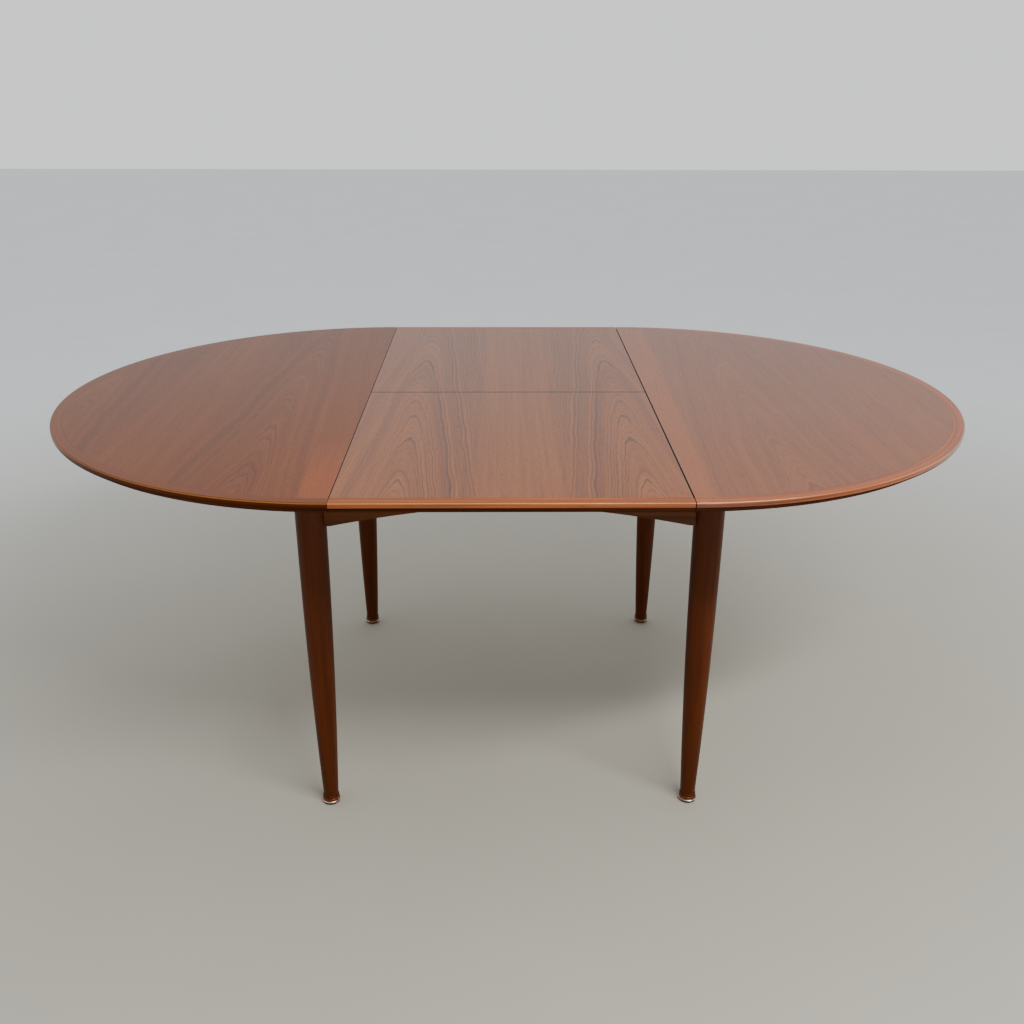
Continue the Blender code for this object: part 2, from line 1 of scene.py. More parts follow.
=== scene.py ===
"""Finished look of a round extending dining table in teak, drawn out, with its folding leaf in place.

Metres, +Z up, origin on the floor under the table's middle, +X along the table and +Y to its back. The
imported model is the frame: each piece here takes its place from that model's boxes and rides on its bodies.
"""

import logging
from contextlib import contextmanager
from dataclasses import dataclass
from enum import Enum
from math import pi, radians, sqrt
from typing import Callable, Iterator, Optional, Sequence, Union

import bmesh
import bpy
from mathutils import Matrix, Vector


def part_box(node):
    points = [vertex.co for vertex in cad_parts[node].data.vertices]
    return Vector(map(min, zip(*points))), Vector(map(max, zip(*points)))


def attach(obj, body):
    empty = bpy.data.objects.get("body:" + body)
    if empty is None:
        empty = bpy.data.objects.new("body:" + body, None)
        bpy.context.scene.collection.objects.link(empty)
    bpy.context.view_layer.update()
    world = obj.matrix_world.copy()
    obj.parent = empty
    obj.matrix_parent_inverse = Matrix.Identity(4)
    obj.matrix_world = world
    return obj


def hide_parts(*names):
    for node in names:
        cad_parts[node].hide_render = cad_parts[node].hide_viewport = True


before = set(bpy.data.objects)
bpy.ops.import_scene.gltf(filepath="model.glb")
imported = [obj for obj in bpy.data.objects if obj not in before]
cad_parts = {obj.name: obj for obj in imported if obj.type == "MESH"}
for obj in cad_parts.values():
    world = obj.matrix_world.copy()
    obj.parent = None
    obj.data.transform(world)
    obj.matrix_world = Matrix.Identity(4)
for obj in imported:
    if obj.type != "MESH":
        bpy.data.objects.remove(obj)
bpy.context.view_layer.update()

LOG = logging.getLogger("table")
SAME_PLACE = 0.00002          # two points nearer than this are one
CLEAR_OF = 0.001              # points of one shape lie further apart than this
LEG_FACETS = 72               # round a leg, and round the cope of an apron's end
FLAT_ANGLE = 0.5              # degrees under which two faces are one flat one
TOP_FACING, DOWN_FACING = 0.985, -0.3  # Z of a lipping's normals above or below which it isn't rim
BEND_RADIUS = 0.62            # of the bent lippings
TURNING_MARKS = 2600.0        # for each metre of height

Place = tuple[float, float, float]
Colour = tuple[float, float, float]
Value = Union[float, Colour, bpy.types.NodeSocket]
Piece = bpy.types.Object


class Way(Enum):
    """One of two opposite ways from the table's middle."""

    @property
    def word(self) -> str:
        """The way's name inside piece names."""
        return self.name.lower()


class Side(Way):
    """The table's two ends, with the direction of each along X."""

    LEFT = -1
    RIGHT = 1


class Depth(Way):
    """The table's front and back, with the direction of each along Y."""

    FRONT = -1
    BACK = 1


class Body(Enum):
    """The moving bodies of the table."""

    FRAME = "frame"
    LEFT_END = "left_end"
    RIGHT_END = "right_end"
    LEAF_FRONT = "leaf_front"
    LEAF_BACK = "leaf_back"
    LEAF_LINKS = "leaf_links"

    @staticmethod
    def end(side: Side) -> "Body":
        """The body of one half-round end."""
        return Body.LEFT_END if side is Side.LEFT else Body.RIGHT_END

    @staticmethod
    def leaf(depth: Depth) -> "Body":
        """The body of one half of the leaf."""
        return Body.LEAF_FRONT if depth is Depth.FRONT else Body.LEAF_BACK


class Slot(Enum):
    """Names of the material slots."""

    VENEER = "veneer"
    LIPPING = "lipping"
    LEG = "leg"
    APRON = "apron"
    FRAME = "frame"
    STEEL = "steel"
    RING = "ring"
    PAD = "pad"


# ------------------------------------------------------------------------------------ node recipes

def shade(red: int, green: int, blue: int) -> Colour:
    """Turn a paint-chart colour into the linear colour that shaders take.

    Args:
        red: Red, 0 to 255.
        green: Green, 0 to 255.
        blue: Blue, 0 to 255.

    Returns:
        The linear colour.
    """
    def linear(value: int) -> float:
        """One channel in linear light."""
        share = value / 255
        return share / 12.92 if share <= 0.04045 else ((share + 0.055) / 1.055) ** 2.4

    return (linear(red), linear(green), linear(blue))


class Recipe:
    """The node bench of one material: it adds nodes and wires them up."""

    def __init__(self, name: str) -> None:
        """Start a material with a Principled shader.

        Args:
            name: The material's name.
        """
        self.material = bpy.data.materials.new(name)
        self.material.use_nodes = True
        self.tree = self.material.node_tree
        self.shader = self.tree.nodes["Principled BSDF"]

    def wire(self, value: Value, socket: bpy.types.NodeSocket) -> None:
        """Link a socket, or set it to a constant.

        Args:
            value: Another node's output, a number, or a colour or vector.
            socket: The input that takes it.
        """
        if isinstance(value, bpy.types.NodeSocket):
            self.tree.links.new(value, socket)
        elif isinstance(value, tuple) and len(value) == 3 and socket.type == "RGBA":
            socket.default_value = (*value, 1.0)
        else:
            socket.default_value = value

    def maths(self, operation: str, *values: Value) -> bpy.types.NodeSocket:
        """Add a Math node.

        Args:
            operation: The node's operation.
            *values: Its inputs, in order.

        Returns:
            The result.
        """
        node = self.tree.nodes.new("ShaderNodeMath")
        node.operation = operation
        for value, socket in zip(values, node.inputs):
            self.wire(value, socket)
        return node.outputs[0]

    def plus(self, first: Value, second: Value) -> bpy.types.NodeSocket:
        """Add two values."""
        return self.maths("ADD", first, second)

    def times(self, first: Value, second: Value) -> bpy.types.NodeSocket:
        """Multiply two values."""
        return self.maths("MULTIPLY", first, second)

    def scaled(self, value: Value, by: Value, start: Value) -> bpy.types.NodeSocket:
        """Multiply a value by another and add a third."""
        return self.maths("MULTIPLY_ADD", value, by, start)

    def apart(self, value: Value, place: Value) -> bpy.types.NodeSocket:
        """How far a value is from a place, whichever way."""
        return self.maths("ABSOLUTE", self.maths("SUBTRACT", value, place))

    def hypotenuse(self, first: Value, second: Value) -> bpy.types.NodeSocket:
        """Distance given by two values square to each other."""
        return self.maths("SQRT", self.scaled(first, first, self.times(second, second)))

    def band(self, value: Value, rise: tuple[float, float],
             fall: tuple[float, float]) -> bpy.types.NodeSocket:
        """1 between a rise and a fall along a value, each given as its two ends, and 0 outside them."""
        return self.times(self.between(value, *rise), self.between(value, *fall))

    def object_place(self) -> tuple[bpy.types.NodeSocket, bpy.types.NodeSocket, bpy.types.NodeSocket]:
        """The piece's own X, Y and Z in metres."""
        coordinates = self.tree.nodes.new("ShaderNodeTexCoord")
        parts = self.tree.nodes.new("ShaderNodeSeparateXYZ")
        self.tree.links.new(coordinates.outputs["Object"], parts.inputs[0])
        return parts.outputs[0], parts.outputs[1], parts.outputs[2]

    def vector(self, x: Value, y: Value, z: Value) -> bpy.types.NodeSocket:
        """Join three values as a vector."""
        node = self.tree.nodes.new("ShaderNodeCombineXYZ")
        for value, socket in zip((x, y, z), node.inputs):
            self.wire(value, socket)
        return node.outputs[0]

    def grain(self, x: Value, y: Value, z: Value, scale: Place, detail: float, roughness: float,
              distortion: float = 0.0) -> bpy.types.NodeSocket:
        """Add a 3-D noise over three values, each at its own scale.

        Args:
            x: The first value.
            y: The second.
            z: The third.
            scale: Waves for each unit of each.
            detail: Its finer octaves.
            roughness: How strong those are.
            distortion: How far it is stirred.

        Returns:
            Its value, about 0.5 on average.
        """
        vector = self.vector(*(self.times(value, by) for value, by in zip((x, y, z), scale)))
        node = self.tree.nodes.new("ShaderNodeTexNoise")
        node.noise_dimensions = "3D"
        for name, value in (("Vector", vector), ("Scale", 1.0), ("Detail", detail),
                            ("Roughness", roughness), ("Distortion", distortion)):
            self.wire(value, node.inputs[name])
        return node.outputs[0]

    def mottle(self, waves: float, detail: float, roughness: float) -> bpy.types.NodeSocket:
        """A 3-D noise over the piece, the same in every direction."""
        return self.grain(*self.object_place(), (waves, waves, waves), detail, roughness)

    def toned(self, colour: Value, tone: Value) -> bpy.types.NodeSocket:
        """Multiply a colour by a tone."""
        return self.blend(1.0, colour, self.vector(tone, tone, tone), "MULTIPLY")

    def noise_along(self, value: Value, scale: float, detail: float = 2.0) -> bpy.types.NodeSocket:
        """Add a 1-D noise along one value, which gives rings of uneven width.

        Args:
            value: What it runs along.
            scale: Waves for each unit of it.
            detail: Its finer octaves.

        Returns:
            Its value, about 0.5 on average.
        """
        node = self.tree.nodes.new("ShaderNodeTexNoise")
        node.noise_dimensions = "1D"
        for name, given in (("W", value), ("Scale", scale), ("Detail", detail)):
            self.wire(given, node.inputs[name])
        return node.outputs[0]

    def between(self, value: Value, low: float, high: float, start: float = 0.0,
                end: float = 1.0) -> bpy.types.NodeSocket:
        """Turn low..high into start..end, smoothly and held at both ends.

        Args:
            value: What is read.
            low: Where the result is start.
            high: Where it is end.
            start: The result up to low.
            end: The result from high on.

        Returns:
            The result.
        """
        node = self.tree.nodes.new("ShaderNodeMapRange")
        node.interpolation_type = "SMOOTHSTEP"
        for given, socket in zip((value, low, high, start, end), node.inputs):
            self.wire(given, socket)
        return node.outputs[0]

    def blend(self, share: Value, first: Value, second: Value, how: str = "MIX") -> bpy.types.NodeSocket:
        """Blend two colours.

        Args:
            share: How much of the second is taken.
            first: The first colour.
            second: The second colour.
            how: The blend type.

        Returns:
            The blended colour.
        """
        node = self.tree.nodes.new("ShaderNodeMix")
        node.data_type = "RGBA"
        node.blend_type = how
        self.wire(share, node.inputs["Factor"])
        colours = [socket for socket in node.inputs if socket.type == "RGBA"]
        self.wire(first, colours[0])
        self.wire(second, colours[1])
        return next(socket for socket in node.outputs if socket.type == "RGBA")

    def relief(self, height: Value, strength: float, distance: float) -> None:
        """Raise the surface by a height from 0 to 1.

        Args:
            height: The relief.
            strength: How much of it shows.
            distance: Metres that a height of 1 stands for.
        """
        node = self.tree.nodes.new("ShaderNodeBump")
        node.inputs["Strength"].default_value = strength
        node.inputs["Distance"].default_value = distance
        self.wire(height, node.inputs["Height"])
        self.wire(node.outputs[0], self.shader.inputs["Normal"])

    def surface(self, colour: Value, roughness: Value, metallic: float = 0.0, gloss: float = 0.5,
                coat: float = 0.0, coat_roughness: float = 0.2) -> bpy.types.Material:
        """Set the shader's main sockets.

        Args:
            colour: Base colour.
            roughness: Roughness.
            metallic: 1 for bare metal.
            gloss: Specular level, 0.5 for a bare polished surface and less for an oiled one.
            coat: Weight of a clear coat.
            coat_roughness: That coat's roughness.

        Returns:
            The finished material.
        """
        self.wire(colour, self.shader.inputs["Base Color"])
        self.wire(roughness, self.shader.inputs["Roughness"])
        self.shader.inputs["Metallic"].default_value = metallic
        self.shader.inputs["Specular IOR Level"].default_value = gloss
        self.shader.inputs["Coat Weight"].default_value = coat
        self.shader.inputs["Coat Roughness"].default_value = coat_roughness
        return self.material


class Finish:
    """A named finish. Its material is made the first time a piece asks for it."""

    name: str

    def material(self) -> bpy.types.Material:
        """The finish's material."""
        return bpy.data.materials.get(self.name) or self.mixed()

    def mixed(self) -> bpy.types.Material:
        """Make the material."""
        raise NotImplementedError


# ------------------------------------------------------------------------------------ wood finishes

@dataclass(frozen=True)
class CrownVeneer(Finish):
    """Crown-cut teak veneer, two book-matched sheets, its grain along Y.

    Attributes:
        name: The material's name.
        wood: Colour of the early wood.
        ring: Colour of the dark ring lines.
        glow: Colour that the slow streaks lean to.
        joint: X of the joint between the two sheets.
        axis: From that joint to each sheet's crown.
        round_off: How blunt the crowns' arches are, metres.
        lean: How fast the arches open towards the front.
        rings: Rings for each metre across the grain.
        close_rings: The same for the close rings on the flanks towards the match joint.
        figure: Strength of the ring lines near the crowns.
        calm: Strength of the ring lines far from them.
        seed: Shifts every noise.
        strip: Distance from the middle to where a paler strip beside the seam ends, or none.
        strip_wood: That strip's colour.
        strip_share: How much of that colour shows.
        strip_back: Y in front of which the strip fades in.
        seams_x: X of the panel's seams, whose arrises are darkened, partly as dirt in the joint and partly as
            painted shade in its gap, each with that darkening's half width.
        seam_y: The same for Y of its seam along X, or none.
        stain_low: Z above which that darkening shows.
        stain: Its colour.
        underside: Z below which the plain backing veneer shows.
        backing: That veneer's two colours.
        gloss: Specular level.
    """

    name: str
    wood: Colour
    ring: Colour
    glow: Colour
    joint: float
    axis: float = 0.2
    round_off: float = 0.040
    lean: float = 0.07
    rings: float = 250.0
    close_rings: float = 215.0
    figure: float = 0.85
    calm: float = 0.30
    seed: float = 0.0
    strip: Optional[float] = None
    strip_wood: Colour = shade(154, 78, 26)
    strip_share: float = 0.85
    strip_back: float = 1.0
    seams_x: tuple[tuple[float, float], ...] = ()
    seam_y: Optional[tuple[float, float]] = None
    stain_low: float = 0.7362
    stain: Colour = shade(22, 10, 5)
    underside: float = 0.7195
    backing: tuple[Colour, Colour] = (shade(150, 112, 78), shade(124, 88, 58))
    gloss: float = 0.30

    def mixed(self) -> bpy.types.Material:
        """Mix the colours by the veneer's growth rings, streaks and pores, and darken the seams with dirt and
        painted shade.
        """
        r = Recipe(self.name)
        x, y, z = r.object_place()
        across = r.apart(x, self.joint)
        bend = r.grain(across, y, self.seed, (7.0, 2.2, 1.0), 2.0, 0.5)
        waver = r.grain(across, y, self.seed, (60.0, 22.0, 1.0), 3.0, 0.6)
        offset = r.plus(r.maths("SUBTRACT", across, self.axis), r.scaled(bend, 0.050, -0.025))
        arch = r.maths("SQRT", r.scaled(offset, offset, self.round_off ** 2))
        growth = r.plus(r.scaled(y, self.lean, arch), r.scaled(waver, 0.0045, self.seed * 0.37))

        cloud, straight, thread, fibre, pores = (
            r.grain(x, y, self.seed, (wide, long, 1.0), detail, roughness)
            for wide, long, detail, roughness in (
                (5.0, 1.6, 2.0, 0.5), (95.0, 1.4, 4.0, 0.65), (240.0, 3.5, 2.0, 0.6),
                (520.0, 12.0, 3.0, 0.6), (1500.0, 70.0, 2.0, 0.6)))
        pore = r.between(pores, 0.57, 0.70)
        crowned = r.between(offset, -0.165, -0.100)
        streak = r.maths("SUBTRACT", r.noise_along(growth, 62.0, 3.0), straight)
        streak = r.scaled(streak, r.times(crowned, 0.7), straight)

        colour = r.blend(r.between(streak, 0.30, 0.74), self.wood, self.glow)
        if self.strip is not None:
            edge = r.scaled(y, -0.03, r.maths("ABSOLUTE", x))
            share = r.between(edge, self.strip - 0.004, self.strip + 0.008, self.strip_share, 0.0)
            share = r.times(share, r.between(y, self.strip_back, self.strip_back - 0.28))
            colour = r.blend(share, colour, self.strip_wood)
        colour = r.blend(self.ring_lines(r, growth, offset), colour, self.ring)
        hairline = r.maths("SUBTRACT", r.noise_along(growth, 520.0, 2.0), 0.5)
        tone = r.scaled(thread, 0.32, r.scaled(cloud, 0.26, r.scaled(fibre, 0.24, 0.59)))
        colour = r.toned(colour, r.plus(tone, r.times(hairline, r.times(crowned, 0.80))))
        colour = r.blend(r.times(pore, 0.45), colour, self.ring)
        seams = [(x, *seam) for seam in self.seams_x] + ([] if self.seam_y is None else [(y, *self.seam_y)])
        # Each seam's arrises are darkened, partly as dirt in the joint and partly as painted shade in its
        # gap.
        for value, place, width in seams:
            stain = r.between(r.apart(value, place), width, width * 0.65, 0.0, 0.97)
            stain = r.times(stain, r.between(z, self.stain_low, self.stain_low + 0.0010))
            colour = r.blend(stain, colour, self.stain)
        backing = r.blend(r.between(fibre, 0.35, 0.65), *self.backing)
        colour = r.blend(r.maths("GREATER_THAN", z, self.underside), backing, colour)
        r.relief(r.scaled(pore, -0.6, fibre), 0.25, 0.00012)
        return r.surface(colour, r.plus(r.scaled(fibre, 0.10, 0.27), r.times(pore, 0.12)), gloss=self.gloss)

    def ring_lines(self, r: Recipe, growth: Value, offset: Value) -> bpy.types.NodeSocket:
        """Lines where the rings end: clear near the crowns, calm far out, and close on the flanks.

        Args:
            r: The recipe.
            growth: How far out in the trunk a point grew, metres.
            offset: How far it lies outside the crown's axis, metres.

        Returns:
            How much of the ring colour shows.
        """
        uneven = r.noise_along(growth, 36.0, 1.0)
        phase = r.maths("FRACT", r.scaled(uneven, 2.6, r.times(growth, self.rings)))
        line = r.band(phase, (0.64, 0.92), (1.0, 0.92))
        strong = r.between(r.noise_along(growth, 130.0, 1.0), 0.36, 0.62, 0.16, 1.0)
        inner = r.between(offset, -0.150, -0.085, self.calm, self.figure)
        outer = r.between(offset, 0.020, 0.110, 1.0, self.calm / self.figure)
        line = r.times(r.times(line, strong), r.times(inner, outer))
        phase = r.maths("FRACT", r.scaled(uneven, 3.0, r.times(growth, self.close_rings)))
        flank = r.band(offset, (-0.150, -0.105), (-0.012, -0.055))
        close = r.times(r.band(phase, (0.50, 0.90), (1.0, 0.90)), r.times(flank, self.figure * 0.85))
        return r.maths("MAXIMUM", line, close)


@dataclass(frozen=True)
class SolidTeak(Finish):
    """Solid teak whose grain follows a straight or a bent length.

    Attributes:
        name: The material's name.
        wood: Its lighter colour.
        dark: The colour of its streaks.
        roughness: Its mean roughness.
        along: The axis of a straight piece's grain, or "BENT" for a bend about the vertical.
        centre: X of the bend's centre.
        streaks: Streaks for each metre across the grain.
        contrast: How strong they are.
        seed: Shifts every noise.
        gloss: Specular level.
        coat: Weight of the clear coat.
        shade_below: Z below which the wood is darkened as painted shade under the top's edge, or none.
        stain: The colour of that painted shade.
        arrises: Z between which a painted highlight shows along each arris, where the wood is darkened below:
            rise, then fall.
        highlight_colour: The pale colour painted there as a highlight.
        wear_and_highlight: Most that shows of that painted highlight.
    """

    name: str
    wood: Colour
    dark: Colour
    roughness: float = 0.34
    along: str = "X"
    centre: float = 0.0
    streaks: float = 90.0
    contrast: float = 0.8
    seed: float = 0.0
    gloss: float = 0.3
    coat: float = 0.0
    shade_below: Optional[float] = None
    stain: Colour = shade(36, 13, 3)
    # Painted highlights: pale bands along the rim's upper and lower arrises.
    arrises: tuple[tuple[tuple[float, float], tuple[float, float]], ...] = (
        ((0.7374, 0.7382), (0.7398, 0.7392)), ((0.7288, 0.7292), (0.7302, 0.7298)))
    highlight_colour: Colour = shade(206, 138, 70)
    wear_and_highlight: float = 0.7

    def mixed(self) -> bpy.types.Material:
        """Mix the colours by long streaks, fibres and pores, with painted shade under the top's edge and
        painted highlights on its arrises where asked.
        """
        r = Recipe(self.name)
        x, y, z = r.object_place()
        if self.along == "BENT":
            out = r.maths("SUBTRACT", x, self.centre)
            length, a, b = r.times(r.maths("ARCTAN2", y, out), BEND_RADIUS), r.hypotenuse(out, y), z
        else:
            length, a, b = {"X": (x, y, z), "Y": (y, x, z), "Z": (z, x, y)}[self.along]
        seeded = r.plus(length, self.seed)
        slow = r.grain(a, b, seeded, (self.streaks, self.streaks, 1.6), 3.0, 0.55, 0.4)
        fibre = r.grain(a, b, seeded, (620.0, 620.0, 14.0), 3.0, 0.6)
        cloud = r.grain(a, b, seeded, (9.0, 9.0, 3.2), 2.0, 0.5)
        pore = r.between(r.grain(a, b, seeded, (1700.0, 1700.0, 60.0), 2.0, 0.5), 0.58, 0.70)
        share = r.times(r.between(slow, 0.36, 0.66), self.contrast)
        colour = r.blend(share, self.wood, self.dark)
        tone = r.scaled(cloud, 0.34, r.scaled(fibre, 0.34, 0.66))
        colour = r.blend(r.times(pore, 0.5), r.toned(colour, tone), self.dark)
        if self.shade_below is not None:
            # Painted shade: darker below this height, where the top's edge turns under.
            stain = r.between(z, self.shade_below, self.shade_below - 0.0015, 0.0, 0.86)
            colour = r.blend(stain, colour, self.stain)
            # Painted highlights along the arrises, patchy by the cloud noise.
            wear_and_highlight = r.maths("MAXIMUM", *(r.band(z, rise, fall) for rise, fall in self.arrises))
            wear_and_highlight = r.times(wear_and_highlight, r.between(cloud, 0.35, 0.65, 0.25, self.wear_and_highlight))
            colour = r.blend(wear_and_highlight, colour, self.highlight_colour)
        r.relief(r.scaled(pore, -0.6, fibre), 0.30, 0.00012)
        rough = r.scaled(fibre, 0.12, self.roughness - 0.06)
        return r.surface(colour, rough, gloss=self.gloss, coat=self.coat, coat_roughness=0.12)


@dataclass(frozen=True)
class Beech(Finish):
    """Plain beech with its short dark flecks.

    Attributes:
        name: The material's name.
        along: The axis of its grain.
        wood: Its lighter colour.
        dark: Its darker colour.
        fleck: Its flecks' colour.
        coarse: Streaks for each metre along the grain and across it.
    """

    name: str
    along: str
    wood: Colour = shade(205, 168, 122)
    dark: Colour = shade(168, 126, 84)
    fleck: Colour = shade(132, 90, 56)
    coarse: tuple[float, float] = (6.0, 90.0)

    def mixed(self) -> bpy.types.Material:
        """Mix the colours by streaks and flecks."""
        r = Recipe(self.name)
        x, y, z = r.object_place()
        scale = tuple(self.coarse[0] if axis == self.along else self.coarse[1] for axis in "XYZ")
        fine = tuple(6.0 * value for value in scale)
        streak = r.grain(x, y, z, scale, 3.0, 0.55)
        fleck = r.between(r.grain(x, y, z, fine, 1.0, 0.5), 0.60, 0.68)
        colour = r.blend(r.between(streak, 0.35, 0.68), self.wood, self.dark)
        colour = r.blend(r.times(fleck, 0.6), colour, self.fleck)
        r.relief(streak, 0.2, 0.0002)
        return r.surface(colour, r.scaled(streak, 0.15, 0.50))


# ------------------------------------------------------------------------------------ other finishes

@dataclass(frozen=True)
class BareMetal(Finish):
    """Metal with fine turning marks and a slight mottle.

    Attributes:
        name: The material's name.
        colour: The clean metal.
        wear_and_highlight: The duller, worn patches.
        roughness: Its mean roughness.
        marks: Turning marks for each metre of height.
    """

    name: str
    colour: Colour
    wear_and_highlight: Colour
    roughness: float
    marks: float = TURNING_MARKS

    def mixed(self) -> bpy.types.Material:
        """Mix clean and dull metal, with turning marks round the height."""
        r = Recipe(self.name)
        patch = r.between(r.mottle(90.0, 4.0, 0.6), 0.40, 0.68)
        mark = r.noise_along(r.object_place()[2], self.marks, 2.0)
        colour = r.blend(patch, self.colour, self.wear_and_highlight)
        r.relief(mark, 0.15, 0.00008)
        rough = r.plus(r.scaled(patch, 0.18, self.roughness),
                        r.scaled(mark, 0.10, -0.05))
        return r.surface(colour, rough, metallic=1.0)


@dataclass(frozen=True)
class BrownRingWithHighlight(Finish):
    """Foot ring metal: brown, with a painted highlight band round its lower rim.

    Attributes:
        name: The material's name.
        bright: The pale metal, painted in a band as a highlight and in patches at random.
        brown: The brown metal.
        rim_low: Z where the painted highlight band starts.
        rim_high: Z where it ends.
        rim_high: Z where it ends.
    """

    name: str = "foot_ring_metal"
    bright: Colour = shade(204, 178, 164)
    brown: Colour = shade(112, 62, 36)
    rim_low: float = 0.0055
    rim_high: float = 0.0076

    def mixed(self) -> bpy.types.Material:
        """Mix brown metal with a painted highlight band by height, and with bright patches at random."""
        r = Recipe(self.name)
        z = r.object_place()[2]
        wear_and_band_noise = r.mottle(160.0, 3.0, 0.6)
        # Painted highlight: a bright band round the ring's lower rim, its edges stirred by the noise.
        highlight_z = r.plus(z, r.scaled(wear_and_band_noise, 0.0016, -0.0008))
        band = r.band(highlight_z, (self.rim_low - 0.0004, self.rim_low + 0.0004),
                      (self.rim_high + 0.0005, self.rim_high - 0.0005))
        share = r.maths("MAXIMUM", band, r.between(wear_and_band_noise, 0.55, 0.75, 0.0, 0.5))
        colour = r.blend(share, self.brown, self.bright)
        r.relief(r.noise_along(z, TURNING_MARKS, 2.0), 0.15, 0.00008)
        return r.surface(colour, r.scaled(share, -0.16, 0.40), metallic=1.0)


@dataclass(frozen=True)
class FootRubber(Finish):
    """Dark moulded pad with a fine grain.

    Attributes:
        name: The material's name.
        colour: Its colour.
        scuffed: Its colour where it is scuffed.
    """

    name: str = "foot_rubber"
    colour: Colour = shade(42, 37, 35)
    scuffed: Colour = shade(70, 64, 60)

    def mixed(self) -> bpy.types.Material:
        """Mix the pad's colour with its scuffs."""
        r = Recipe(self.name)
        grain = r.mottle(900.0, 2.0, 0.5)
        scuff = r.between(r.mottle(120.0, 3.0, 0.6), 0.5, 0.7)
        colour = r.blend(scuff, self.colour, self.scuffed)
        r.relief(grain, 0.3, 0.0001)
        return r.surface(colour, r.scaled(grain, 0.15, 0.55))


@dataclass(frozen=True)
class StudioFloor(Finish):
    """Pale plain floor that runs into the surround.

    Attributes:
        name: The material's name.
        colour: Its colour round the table.
        far_colour: Its colour far away.
        reach: Metres from the table's middle over which the one turns into the other.
    """

    name: str = "studio_floor"
    colour: Colour = shade(174, 171, 158)
    far_colour: Colour = shade(232, 234, 236)
    reach: tuple[float, float] = (0.9, 3.6)

    def mixed(self) -> bpy.types.Material:
        """Put a very faint mottle on a pale ground."""
        r = Recipe(self.name)
        x, y, _ = r.object_place()
        ground = r.blend(r.between(r.hypotenuse(x, y), *self.reach), self.colour, self.far_colour)
        colour = r.toned(ground, r.scaled(r.mottle(2.2, 5.0, 0.6), 0.10, 0.95))
        return r.surface(colour, 0.75)


@dataclass(frozen=True)
class TableFinishes:
    """Every finish on the table."""

    # The panels' seams are darkened, partly as dirt and partly as painted shade in their gaps.
    leaf: CrownVeneer = CrownVeneer(
        "leaf_veneer", shade(131, 71, 23), shade(42, 17, 6), shade(112, 56, 17), joint=0.018, seed=1.7,
        seams_x=((-0.2855, 0.0007), (0.2846, 0.0012)), seam_y=(0.0, 0.0036))
    left_end: CrownVeneer = CrownVeneer(
        "left_end_veneer", shade(113, 57, 17), shade(46, 20, 6), shade(100, 48, 14), joint=-0.648,
        axis=0.201, round_off=0.033, figure=0.55, calm=0.12, seed=4.1, seams_x=((-0.2862, 0.0007),),
        gloss=0.12, strip=0.352, strip_wood=shade(138, 66, 20), strip_share=0.60, strip_back=-0.26)
    right_end: CrownVeneer = CrownVeneer(
        "right_end_veneer", shade(121, 65, 28), shade(54, 23, 10), shade(106, 55, 24), joint=0.812,
        axis=0.330, round_off=0.035, figure=0.28, calm=0.12, seed=8.3, seams_x=((0.2862, 0.0010),),
        strip=0.335, strip_wood=shade(134, 70, 25))
    leaf_lipping: SolidTeak = SolidTeak(
        "leaf_lipping_teak", shade(153, 76, 11), shade(108, 49, 7), 0.28, "X", seed=0.3, gloss=0.12)
    left_lipping: SolidTeak = SolidTeak(
        "left_lipping_teak", shade(108, 53, 14), shade(92, 43, 11), 0.30, "BENT", -0.286, contrast=0.5,
        seed=1.9, gloss=0.10)
    right_lipping: SolidTeak = SolidTeak(
        "right_lipping_teak", shade(146, 70, 18), shade(96, 44, 12), 0.28, "BENT", 0.286, seed=3.4,
        gloss=0.2)
    # The rims carry painted shade under the top's edge and painted highlights along their arrises.
    leaf_rim: SolidTeak = SolidTeak(
        "leaf_rim_teak", shade(138, 67, 9), shade(78, 33, 5), 0.24, "X", seed=0.3, gloss=0.35, coat=0.25,
        shade_below=0.7288)
    left_rim: SolidTeak = SolidTeak(
        "left_rim_teak", shade(74, 31, 4), shade(46, 18, 2), 0.26, "BENT", -0.286, seed=1.9, gloss=0.06,
        shade_below=0.7288, wear_and_highlight=0.4)
    right_rim: SolidTeak = SolidTeak(
        "right_rim_teak", shade(132, 62, 14), shade(66, 26, 7), 0.24, "BENT", 0.286, seed=3.4, gloss=0.4,
        coat=0.35, shade_below=0.7288)
    # The faces that look down under the top's edge: their dark colour is painted shade.
    undercut: SolidTeak = SolidTeak(
        "undercut_teak", shade(74, 30, 6), shade(42, 16, 3), 0.60, "X", seed=2.2, gloss=0.02)
    leg: SolidTeak = SolidTeak(
        "turned_leg_teak", shade(78, 34, 8), shade(48, 19, 4), 0.38, "Z", streaks=60.0, contrast=0.5,
        seed=5.0, gloss=0.10)
    apron: SolidTeak = SolidTeak(
        "apron_teak", shade(84, 44, 13), shade(56, 27, 8), 0.42, "X", seed=6.1, gloss=0.12)
    rail: SolidTeak = SolidTeak(
        "rail_teak", shade(84, 42, 12), shade(54, 24, 7), 0.45, "Y", seed=7.2, gloss=0.12)
    beech_x: Beech = Beech("beech_lengthwise", "X")
    beech_y: Beech = Beech("beech_crosswise", "Y")
    steel: BareMetal = BareMetal("zinc_steel", shade(190, 188, 180), shade(140, 136, 126), 0.34)
    foot_ring: BrownRingWithHighlight = BrownRingWithHighlight()
    foot_pad: FootRubber = FootRubber()
    floor: StudioFloor = StudioFloor()

    def of_end(self, side: Side) -> tuple[CrownVeneer, SolidTeak, SolidTeak]:
        """The veneer, lipping and polished rim of one end."""
        if side is Side.LEFT:
            return self.left_end, self.left_lipping, self.left_rim
        return self.right_end, self.right_lipping, self.right_rim


# ------------------------------------------------------------------------------------ bench work

